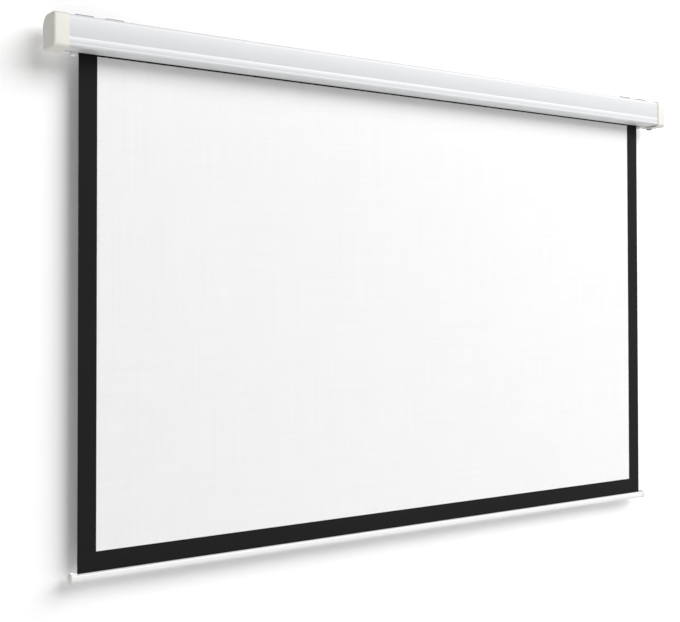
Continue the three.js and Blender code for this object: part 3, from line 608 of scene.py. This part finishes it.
def makeRail(v, left, right, back, tip):
    stemLow, stemHigh = v["railStem"]
    build = startBox((left, right), (back - v["wall"], tip), (stemLow, stemHigh))
    upper = facesWhere(build, lambda place, normal: near(place.z, stemHigh))
    cutAcross(build, upper, (0, tip - v["railLip"], 0), (0, 1, 0))
    lip = facesWhere(build, lambda place, normal: near(place.z, stemHigh) and place.y > tip - v["railLip"])
    made = bmesh.ops.extrude_face_region(build, geom=lip)["geom"]
    raised = [item for item in made if isinstance(item, bmesh.types.BMVert)]
    bmesh.ops.translate(build, vec=(0, 0, v["railTip"] - stemHigh), verts=raised)
    bmesh.ops.delete(build, geom=lip, context="FACES_ONLY")
    return build


makeCase(caseSizes)
print("case made")


# End caps: moulded shells with a round edge, ribs in the mouth and two screw posts
capSizes = {
    "frontTopRadius": 13,
    "frontLowerRadius": 13,
    "backTopRadius": 30.3,
    "backLowerRadius": 9,
    "edgeRadius": 6,
    "cornerSteps": 12,
    "edgeSteps": 6,
    "wall": 2,
    "plateSide": 1112.6,  # where the posts begin
    "postRadius": 5.6,
    "boreRadius": 1.9,
    "headRadius": 4.2,
    "headDepth": 1.9,
    "ribThickness": 1.6,
    "ribShares": (0.22, 0.5, 0.9),
    "ribHeight": 2.8,
    "ribLength": 11.7,
    "ribInset": 2.3,
    "ribSink": 0.5,
    "accessRadius": 3.2,
    "inletRadius": 8,
    "inletRise": 0.3,
}


def makeCap(v, side):
    (mouth, end), (front, back), (bottom, top) = spansOf("end_cap_right")
    build = startBox((mouth, end), (front, back), (bottom, top))
    opening = facesWhere(build, lambda place, normal: near(place.x, mouth))
    bmesh.ops.delete(build, geom=opening, context="FACES")
    corners = (
        (front, top, v["frontTopRadius"]),
        (front, bottom, v["frontLowerRadius"]),
        (back, top, v["backTopRadius"]),
        (back, bottom, v["backLowerRadius"]),
    )
    for y, z, radius in corners:
        corner = edgesWhere(build, lambda p: near(p.y, y) and near(p.z, z))
        roundEdges(build, corner, radius, v["cornerSteps"])
    roundEdges(build, edgesWhere(build, lambda p: near(p.x, end)), v["edgeRadius"], v["edgeSteps"])
    thicken(build, v["wall"])
    posts = bmesh.new()
    cutters = bmesh.new()
    for index in (1, 2):
        place = middleOf(f"cap_screw_right_{index}")[1:]
        addRod(posts, "x", place, v["postRadius"], v["plateSide"], end - v["wall"] / 2)
        addRod(cutters, "x", place, v["boreRadius"], mouth, end + overrun)
        addRod(cutters, "x", place, v["headRadius"], end - v["headDepth"], end + overrun)
    floor = bottom + v["wall"]
    ribFoot = floor - v["ribSink"]
    for share in v["ribShares"]:
        y = front + v["ribInset"] + share * (back - front - 2 * v["ribInset"])
        ribSpan = (y, y + v["ribThickness"])
        addBox(posts, (mouth, mouth + v["ribLength"]), ribSpan, (ribFoot, ribFoot + v["ribHeight"]))
    if side > 0:
        for name in ("limit_screw_up", "limit_screw_down"):
            addRod(cutters, "x", middleOf(name)[1:], v["accessRadius"], end - 2 * v["wall"], end + overrun)
        inletTop = floor + v["inletRise"]
        addRod(cutters, "z", middleOf("cable_grommet")[:2], v["inletRadius"], bottom - overrun, inletTop)
    build = carve(carve(build, posts, "UNION"), cutters)
    if side < 0:
        build = mirrored(build)
    label = "right" if side > 0 else "left"
    return finishPiece(f"end_cap_shell_{label}", build, "cap_plastic", "housing", [f"end_cap_{label}"])


makeCap(capSizes, 1)
makeCap(capSizes, -1)
print("end caps made")


# Slot plugs: each fills an end of the slot and carries the foot that stops the bar
plugSizes = {
    "underside": -41.8,
    "flange": 1.8,
    "bodyStart": 1075,
    "footEnd": 1068.5,
    "neckInset": 3.3,
    "neckSink": 0.5,
    "gripBack": -17.375,
    "edge": 0.35,
    "edgeSteps": 2,
    "footEdge": 0.9,
    "footSteps": 4,
}


def makeSlotPlug(v, side):
    (start, end), (front, back), (low, high) = spansOf("slot_plug_right")
    neck = (front + v["neckInset"], back - v["neckInset"])
    under = v["underside"]
    foot = startBox((start, v["footEnd"]), (front, back), (low, under))
    roundEdges(foot, edgesWhere(foot, lambda p: near(p.z, low)), v["footEdge"], v["footSteps"])
    parts = (
        ((v["bodyStart"], end), (front, back), (under - v["flange"], under)),
        ((v["bodyStart"], end), neck, (under - v["neckSink"], high)),
        ((start, v["footEnd"]), neck, (under - v["neckSink"], high)),
        ((start, end), (front, v["gripBack"]), (high - v["flange"], high)),
    )
    build = foot
    for spans in parts:
        box = startBox(*spans)
        roundEdges(box, box.edges[:], v["edge"], v["edgeSteps"])
        build = carve(build, box, "UNION")
    if side < 0:
        build = mirrored(build)
    label = "right" if side > 0 else "left"
    return finishPiece(f"stop_foot_{label}", build, "white_plastic", "housing", [f"slot_plug_{label}"])


makeSlotPlug(plugSizes, 1)
makeSlotPlug(plugSizes, -1)
print("slot plugs made")


# Grommet: a turned rubber ring with a flange outside and a lip inside
grommetSizes = {
    "profile": (  # radius and height
        (3.5, 0.4), (3.9, 0), (8.9, 0), (9.7, 0.3), (10, 1.1), (10, 3.4),
        (7.7, 3.4), (7.7, 6), (9.2, 6), (7.7, 7.2), (3.9, 7.2), (3.5, 6.8),
    ),
    "sides": 40,
}


def makeGrommet(v):
    (x, y), (low, _) = middleOf("cable_grommet")[:2], spansOf("cable_grommet")[2]
    build = bmesh.new()
    ring = [build.verts.new((x + radius, y, low + height)) for radius, height in v["profile"]]
    edges = [build.edges.new(pair) for pair in zip(ring, ring[1:] + ring[:1])]
    bmesh.ops.spin(
        build, geom=ring + edges, cent=(x, y, low), axis=(0, 0, 1), dvec=(0, 0, 0),
        angle=2 * math.pi, steps=v["sides"], use_merge=True, use_duplicate=False,
    )
    bmesh.ops.remove_doubles(build, verts=build.verts, dist=0.001)
    bmesh.ops.recalc_face_normals(build, faces=build.faces)
    return finishPiece("cable_inlet", build, "grey_rubber", "housing", ["cable_grommet"])


makeGrommet(grommetSizes)
print("grommet made")


# Bottom bar: a rounded slat whose hem pocket opens at its top
barSizes = {
    "topRadius": 6,
    "topSteps": 10,
    "lowerRadius": 9,
    "lowerSteps": 12,
    "wall": 1.6,
    "mouth": 2.2,
    "pocketRadius": 3.9,
    "pocketDepth": 5.5,
    "pocketSteps": 24,
    "capStart": 1060.3,
    "capRadius": 11,
    "capSteps": 10,
    "capEdge": 2.5,
    "capEdgeSteps": 5,
    "capMouthEdge": 0.4,
    "capMouthSteps": 2,
    "plugInset": 1.9,
    "plugSideInset": 3.9,
    "plugSink": 1,
    "plugTop": -11,
    "plugRadius": 7,
    "plugSteps": 6,
}


def makeBar(v):
    (left, right), (front, back), (bottom, top) = spansOf("bottom_bar")
    middle = (front + back) / 2
    half = v["mouth"] / 2
    build = startBox((left, right), (front, back), (bottom, top))
    ends = facesWhere(build, lambda place, normal: abs(normal.x) > 0.9)
    bmesh.ops.delete(build, geom=ends, context="FACES")
    for y in (front, back):
        upper = edgesWhere(build, lambda p: near(p.y, y) and near(p.z, top))
        roundEdges(build, upper, v["topRadius"], v["topSteps"])
        lower = edgesWhere(build, lambda p: near(p.y, y) and near(p.z, bottom))
        roundEdges(build, lower, v["lowerRadius"], v["lowerSteps"])
    for y in (middle - half, middle + half):
        roof = facesWhere(build, lambda place, normal: near(place.z, top))
        cutAcross(build, roof, (0, y, 0), (0, 1, 0))
    mouth = facesWhere(build, lambda place, normal: near(place.z, top) and abs(place.y - middle) < half)
    bmesh.ops.delete(build, geom=mouth, context="FACES")
    centre = (0, middle, top - v["pocketDepth"])
    drop = v["pocketDepth"] - math.sqrt(v["pocketRadius"] ** 2 - half**2)
    for y in (middle - half, middle + half):
        rim = edgesWhere(build, lambda p: near(p.z, top) and near(p.y, y))
        pull(build, rim, (0, 0, -drop))
    low = edgesWhere(build, lambda p: near(p.z, top - drop) and near(p.y, middle - half))
    bmesh.ops.spin(
        build, geom=low, cent=centre, axis=(1, 0, 0), dvec=(0, 0, 0),
        angle=2 * math.pi - 2 * math.asin(half / v["pocketRadius"]),
        steps=v["pocketSteps"], use_merge=False, use_duplicate=False,
    )
    bmesh.ops.remove_doubles(build, verts=build.verts, dist=0.01)
    thicken(build, v["wall"])
    return finishPiece("bottom_slat", build, "bar_paint", "bar", ["bottom_bar"])


def makeBarCap(v, side):
    (start, end), (front, back), (bottom, top) = spansOf("bar_cap_right")
    barBottom, barTop = spansOf("bottom_bar")[2]
    build = startBox((v["capStart"], end), (front, back), (bottom, top))
    for y in (front, back):
        for z in (bottom, top):
            corner = edgesWhere(build, lambda p: near(p.y, y) and near(p.z, z))
            roundEdges(build, corner, v["capRadius"], v["capSteps"])
    face = edgesWhere(build, lambda p: near(p.x, end))
    roundEdges(build, face, v["capEdge"], v["capEdgeSteps"])
    mouth = edgesWhere(build, lambda p: near(p.x, v["capStart"]))
    roundEdges(build, mouth, v["capMouthEdge"], v["capMouthSteps"])
    plugFloor = barBottom + v["plugInset"]
    plug = startBox(
        (start, v["capStart"] + v["plugSink"]),
        (front + v["plugSideInset"], back - v["plugSideInset"]),
        (plugFloor, barTop + v["plugTop"]),
    )
    lower = edgesWhere(plug, lambda p: near(p.z, plugFloor))
    lengthwise = [edge for edge in lower if abs(edge.verts[0].co.x - edge.verts[1].co.x) > 1]
    roundEdges(plug, lengthwise, v["plugRadius"], v["plugSteps"])
    build = carve(build, plug, "UNION")
    if side < 0:
        build = mirrored(build)
    label = "right" if side > 0 else "left"
    return finishPiece(f"slat_cap_{label}", build, "white_plastic", "bar", [f"bar_cap_{label}"])


makeBar(barSizes)
makeBarCap(barSizes, 1)
makeBarCap(barSizes, -1)
print("bottom bar made")


# Brackets: bent plates with screw slots, two claws on the upper rail and a lower flange for the clamp
bracketSizes = {
    "length": 130,
    "top": 56,
    "bottom": -39,
    "plate": 2,
    "bend": 4,
    "bendSteps": 8,
    "topReach": 28,
    "lowReach": 7,
    "gapHalf": 17,
    "gapLow": 52,
    "slotPlace": 41,
    "slotLength": 14,
    "slotHalf": 4,
    "slotRounding": 3.99,
    "slotSteps": 10,
    "wallSlotHeight": 47.75,
    "ceilingSlotReach": 16,
    "clawSpan": (20, 50),
    "windowSpan": (18.5, 26.5),
    "clawTop": 28.5,
    "clawTip": 20.5,
    "clawBend": 2.4,
    "screwReach": 4.6,
    "screwRadius": 2.3,
}


def bentPlate(v, x, y, z, kept, folds, radius):
    build = startBox(x, y, z)
    spare = facesWhere(build, lambda place, normal: not kept(normal))
    bmesh.ops.delete(build, geom=spare, context="FACES")
    for fold in folds:
        bend = edgesWhere(build, lambda p: near(p.y, fold[0]) and near(p.z, fold[1]))
        roundEdges(build, bend, radius, v["bendSteps"])
    faceOutwards(build)
    return build


def makeBracket(v, label):
    low, high = spansOf(f"bracket_{label}")[0]
    middle = (low + high) / 2
    half = v["length"] / 2
    folds = ((0, v["top"]), (0, v["bottom"]))
    plate = bentPlate(
        v, (-half, half), (-v["topReach"], 0), (v["bottom"], v["top"]),
        lambda normal: normal.y > 0.9 or abs(normal.z) > 0.9, folds, v["bend"],
    )
    under = facesWhere(plate, lambda place, normal: near(place.z, v["bottom"]))
    cutAcross(plate, under, (0, -v["lowReach"], 0), (0, 1, 0))
    front = facesWhere(plate, lambda place, normal: near(place.z, v["bottom"]) and place.y < -v["lowReach"])
    bmesh.ops.delete(plate, geom=front, context="FACES")
    bmesh.ops.solidify(plate, geom=plate.faces[:], thickness=v["plate"])
    cutters = bmesh.new()
    depth = (-v["topReach"] - overrun, overrun)
    addBox(cutters, (-v["gapHalf"], v["gapHalf"]), depth, (v["gapLow"], v["top"] + overrun))
    screwSpan = (v["bottom"] - overrun, v["bottom"] + overrun)
    addRod(cutters, "z", (0, -v["screwReach"]), v["screwRadius"], *screwSpan)
    start, end = v["clawSpan"]
    for side in (-1, 1):
        span = sorted((side * start, side * end))
        addBox(cutters, span, (-overrun, overrun), v["windowSpan"])
        for z, y in ((v["wallSlotHeight"], None), (None, -v["ceilingSlotReach"])):
            addBuild(cutters, screwSlot(v, side * v["slotPlace"], y, z))
    plate = carve(plate, cutters)
    for side in (-1, 1):
        span = sorted((side * start, side * end))
        fold = (-v["lowReach"], v["clawTop"])
        claw = bentPlate(
            v, span, (-v["lowReach"], -v["plate"] / 2), (v["clawTip"], v["clawTop"]),
            lambda normal: normal.y < -0.9 or normal.z > 0.9, (fold,), v["clawBend"],
        )
        bmesh.ops.solidify(claw, geom=claw.faces[:], thickness=v["plate"])
        plate = carve(plate, claw, "UNION")
    bmesh.ops.translate(plate, vec=(middle, 0, 0), verts=plate.verts)
    piece = finishPiece(f"bracket_plate_{label}", plate, "zinc_steel", "housing", [f"bracket_{label}"])
    piece.data.materials[0] = finish["shaded_dull_zinc"]  # dull plating, darkened further as painted shade
    return piece


def screwSlot(v, x, y, z):
    reach = v["slotLength"] / 2
    slot = startBox((x - reach, x + reach), (-overrun, overrun), (-v["slotHalf"], v["slotHalf"]))
    corners = [edge for edge in slot.edges if abs(edge.verts[0].co.y - edge.verts[1].co.y) > 1]
    roundEdges(slot, corners, v["slotRounding"], v["slotSteps"])
    if y is None:
        bmesh.ops.translate(slot, vec=(0, 0, z), verts=slot.verts)
    else:
        bmesh.ops.rotate(slot, matrix=Matrix.Rotation(math.radians(90), 3, "X"), verts=slot.verts)
        bmesh.ops.translate(slot, vec=(0, y, v["top"]), verts=slot.verts)
    return slot


for label in ("left", "right"):
    makeBracket(bracketSizes, label)
print("brackets made")


# Cloth: the white field with its black side borders and a black top strip of painted shade under the slot,
# hung from the roller into the hem
clothSizes = {
    "columns": 84,
    "rows": 40,
    "swell": 0.8,
    "waves": ((640, 0.4, 0.6), (290, 1.9, 0.3), (1250, 3.1, 0.5)),  # length, start and share of the swell
    "thickness": 0.5,
    "borderWidth": 50,
    "borderThickness": 0.25,
    "shadeBorderHeight": 48.3,
    "shut": 8,  # height that is left once the bar is up
}


# The cloth's back has a dark coat: backing is 1 on that side
def thickenCloth(build, wall, outer):
    layer = build.verts.layers.float.new("backing")
    faced = set(build.verts)
    bmesh.ops.solidify(build, geom=build.faces[:], thickness=wall)
    for point in build.verts:
        point[layer] = outer if point in faced else 1 - outer


def hungGrid(v, x, z, y, columns, whole):
    build = bmesh.new()
    bmesh.ops.create_grid(build, x_segments=columns, y_segments=v["rows"], size=0.5)
    bmesh.ops.rotate(build, matrix=Matrix.Rotation(math.radians(90), 3, "X"), verts=build.verts)
    bmesh.ops.scale(build, vec=(x[1] - x[0], 1, z[1] - z[0]), verts=build.verts)
    bmesh.ops.translate(build, vec=((x[0] + x[1]) / 2, y, (z[0] + z[1]) / 2), verts=build.verts)
    for point in build.verts:
        held = math.sin(math.pi * (point.co.z - whole[0]) / (whole[1] - whole[0]))
        turn = 2 * math.pi * point.co.x
        waves = sum(share * math.sin(turn / length + start) for length, start, share in v["waves"])
        point.co.y += v["swell"] * held * waves
    return build


def mapCloth(build, along):
    layer = build.loops.layers.uv.new("cloth")
    for face in build.faces:
        for corner in face.loops:
            place = corner.vert.co
            corner[layer].uv = (place.x / 1000, along(place, face) / 1000)


def makeHungCloth(v):
    x, y, z = spansOf("viewing_surface")
    field = hungGrid(v, x, z, y[0], v["columns"], z)
    thickenCloth(field, v["thickness"], 0)
    mapCloth(field, lambda place, face: place.z)
    pieces = [(finishPiece("screen_field", field, "screen_white", "housing", ["viewing_surface"]), x)]
    step = (x[1] - x[0]) / v["columns"]
    inner = (x[0] + v["borderWidth"], x[1] - v["borderWidth"])
    for label, span in (("left", (x[0], inner[0])), ("right", (inner[1], x[1]))):
        border = hungGrid(v, span, z, y[0] - v["borderThickness"], round(v["borderWidth"] / step), z)
        bmesh.ops.solidify(border, geom=border.faces[:], thickness=v["borderThickness"])
        mapCloth(border, lambda place, face: place.z)
        name = f"field_border_{label}"
        pieces.append((finishPiece(name, border, "screen_black", "housing", [f"side_border_{label}"]), span))
    # Top strip: a black film just under the slot, painted shade for the dark line where the cloth leaves the
    # case; it also stands as a top masking border
    shadeBand = (z[1] - v["shadeBorderHeight"], z[1])
    border = hungGrid(v, inner, shadeBand, y[0] - v["borderThickness"], v["columns"], z)
    bmesh.ops.solidify(border, geom=border.faces[:], thickness=v["borderThickness"])
    mapCloth(border, lambda place, face: place.z)
    shadeBorder = finishPiece("painted_shade_border_top", border, "screen_black", "housing")
    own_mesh(shadeBorder)
    for piece, span in pieces:
        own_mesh(piece)


# Hem: the black strip under the field, looped round the hem rod in the bar's pocket
hemSizes = {
    "thickness": 0.75,
    "columns": 42,
    "rows": 6,
    "loopRadius": 3.5,
    "loopTurn": 350,
    "loopSteps": 28,
}


def makeHem(v):
    x, y, z = spansOf("bottom_border")
    top = z[1]
    rodPlace = middleOf("hem_rod")[1:]
    front = rodPlace[0] - v["thickness"] / 2
    low = rodPlace[1] + v["loopRadius"]
    build = bmesh.new()
    bmesh.ops.create_grid(build, x_segments=v["columns"], y_segments=v["rows"], size=0.5)
    bmesh.ops.rotate(build, matrix=Matrix.Rotation(math.radians(90), 3, "X"), verts=build.verts)
    bmesh.ops.scale(build, vec=(x[1] - x[0], 1, top - low), verts=build.verts)
    bmesh.ops.translate(build, vec=((x[0] + x[1]) / 2, front, (top + low) / 2), verts=build.verts)
    rim = edgesWhere(build, lambda p: near(p.z, low))
    bmesh.ops.spin(
        build, geom=rim, cent=(0, *rodPlace), axis=(1, 0, 0), dvec=(0, 0, 0),
        angle=math.radians(v["loopTurn"]), steps=v["loopSteps"], use_merge=False, use_duplicate=False,
    )
    bmesh.ops.recalc_face_normals(build, faces=build.faces)
    strip = max(build.faces, key=lambda face: face.calc_center_median().z)
    if strip.normal.y > 0:
        bmesh.ops.reverse_faces(build, faces=build.faces)
    bmesh.ops.solidify(build, geom=build.faces[:], thickness=v["thickness"])
    mapCloth(build, lambda place, face: place.z + place.y)
    piece = finishPiece("hem_border", build, "screen_black", "bar", ["bottom_border"])


# Wraps: the turns of cloth that stay on the roller
wrapSizes = {
    "radius": 25,
    "drop": 0.85,  # how much closer each turn lies
    "turns": 1.25,
    "steps": 90,
    "thickness": 0.5,
}


def makeWraps(v):
    x = spansOf("fabric_wraps")[0]
    y, z = middleOf("roller_tube")[1:]
    build = bmesh.new()
    ends = [build.verts.new((end, y + v["radius"], z)) for end in x]
    edge = [build.edges.new(ends)]
    turn = Matrix.Rotation(2 * math.pi * v["turns"] / v["steps"], 3, "X")
    for step in range(v["steps"]):
        now = v["radius"] - v["drop"] * v["turns"] * step / v["steps"]
        share = 1 - v["drop"] * v["turns"] / v["steps"] / now
        edge = pull(build, edge, (0, 0, 0))
        points = list({point for line in edge for point in line.verts})
        bmesh.ops.rotate(build, cent=(0, y, z), matrix=turn, verts=points)
        bmesh.ops.scale(build, vec=(1, share, share), space=Matrix.Translation((0, -y, -z)), verts=points)
    faceOutwards(build)
    thickenCloth(build, v["thickness"], 1)
    mapCloth(build, lambda place, face: woundLength(v, place, face, y, z))
    piece = finishPiece("wound_cloth", build, "screen_white", "roller", ["fabric_wraps"])


def woundLength(v, place, face, y, z):
    middle = face.calc_center_median()
    base = math.atan2(middle.z - z, middle.y - y)
    here = math.atan2(place.z - z, place.y - y)
    return v["radius"] * (base + math.remainder(here - base, 2 * math.pi))


makeHungCloth(clothSizes)
makeHem(hemSizes)
makeWraps(wrapSizes)
print("cloth made")


# Studio: a white wall close behind and a pale floor, both clear from the back
studio = {
    "wallWidth": 6.4,
    "wallTop": 1.1,
    "wallGap": 0.02,
    "floorHeight": -2.4,
    "floorWidth": 14,
    "wallColour": (1, 1, 1, 1),
    "wallGlow": 0.08,
    "floorColour": (0.88, 0.88, 0.87, 1),
    "skyLevel": 0.07,
    "aim": (0, 0, -0.65),
    "lamps": {
        "key lamp": {"place": (3.4, -5.8, 4.4), "size": (9, 5), "power": 840},
        "side lamp": {"place": (-5.5, -0.9, -0.2), "size": (1.2, 1.2), "power": 55},
        "rear lamp": {"place": (1.6, 5, 1.2), "size": (2.5, 2.5), "power": 200},
    },
}


def makePlane(name, width, depth, place, tilt, material):
    build = bmesh.new()
    bmesh.ops.create_grid(build, x_segments=1, y_segments=1, size=0.5)
    bmesh.ops.scale(build, vec=(width, depth, 1), verts=build.verts)
    bmesh.ops.rotate(build, matrix=Matrix.Rotation(math.radians(tilt), 3, "X"), verts=build.verts)
    bmesh.ops.translate(build, vec=place, verts=build.verts)
    mesh = bpy.data.meshes.new(name)
    build.to_mesh(mesh)
    build.free()
    mesh.materials.append(material)
    plane = bpy.data.objects.new(name, mesh)
    bpy.context.collection.objects.link(plane)
    return plane


def makeStageFinish(name, colour, glow=0):
    material = bpy.data.materials.new(name)
    material.use_nodes = True
    tree = material.node_tree
    shader = tree.nodes["Principled BSDF"]
    place = addNode(tree, "ShaderNodeTexCoord").outputs["Object"]
    tone = useGroup(tree, toneDrift, place, Colour=colour, Scale=2, Amount=0.006)
    tree.links.new(tone.outputs["Colour"], shader.inputs["Base Color"])
    shader.inputs["Roughness"].default_value = 0.9
    shader.inputs["Specular IOR Level"].default_value = 0
    shader.inputs["Emission Color"].default_value = (1, 1, 1, 1)
    path = addNode(tree, "ShaderNodeLightPath")
    seen = mathNode(tree, "MULTIPLY", path.outputs["Is Camera Ray"], glow)
    tree.links.new(seen, shader.inputs["Emission Strength"])
    behind = addNode(tree, "ShaderNodeNewGeometry").outputs["Backfacing"]
    mix = addNode(tree, "ShaderNodeMixShader")
    tree.links.new(behind, mix.inputs[0])
    tree.links.new(shader.outputs["BSDF"], mix.inputs[1])
    tree.links.new(addNode(tree, "ShaderNodeBsdfTransparent").outputs["BSDF"], mix.inputs[2])
    tree.links.new(mix.outputs["Shader"], tree.nodes["Material Output"].inputs["Surface"])
    return material


def makeLamp(name, v, target):
    data = bpy.data.lights.new(name, "AREA")
    data.shape = "RECTANGLE"
    data.size, data.size_y = v["size"]
    data.energy = v["power"]
    lamp = bpy.data.objects.new(name, data)
    aim = Vector(target) - Vector(v["place"])
    lamp.matrix_world = Matrix.Translation(v["place"]) @ aim.to_track_quat("-Z", "Y").to_matrix().to_4x4()
    bpy.context.collection.objects.link(lamp)


def makeStudio(v):
    floor = v["floorHeight"]
    height = v["wallTop"] - floor
    wallPaint = makeStageFinish("wall paint", v["wallColour"], v["wallGlow"])
    wall = makePlane("wall", v["wallWidth"], height, (0, v["wallGap"], floor + height / 2), 90, wallPaint)
    wall.visible_diffuse = False  # the wall doesn't darken the back of the case
    wall.visible_glossy = False
    wall.visible_shadow = False
    floorFinish = makeStageFinish("floor", v["floorColour"])
    makePlane("floor", v["floorWidth"], v["floorWidth"], (0, 0, floor), 0, floorFinish)
    for name, lamp in v["lamps"].items():
        makeLamp(name, lamp, v["aim"])
    world = bpy.data.worlds.new("studio")
    world.use_nodes = True
    bpy.context.scene.world = world
    tree = world.node_tree
    sky = tree.nodes["Background"]
    sky.inputs["Color"].default_value = (1, 1, 1, 1)
    sky.inputs["Strength"].default_value = v["skyLevel"]
    shown = addNode(tree, "ShaderNodeBackground", Color=(1, 1, 1, 1), Strength=1)
    path = addNode(tree, "ShaderNodeLightPath")
    seen = mathNode(tree, "MAXIMUM", path.outputs["Is Camera Ray"], path.outputs["Is Glossy Ray"])
    seen = mathNode(tree, "MAXIMUM", seen, path.outputs["Is Transmission Ray"])
    mix = addNode(tree, "ShaderNodeMixShader")
    tree.links.new(seen, mix.inputs[0])
    tree.links.new(sky.outputs["Background"], mix.inputs[1])
    tree.links.new(shown.outputs["Background"], mix.inputs[2])
    tree.links.new(mix.outputs["Shader"], tree.nodes["World Output"].inputs["Surface"])
    bpy.context.scene.view_settings.view_transform = "Standard"


makeStudio(studio)
print("studio lit")
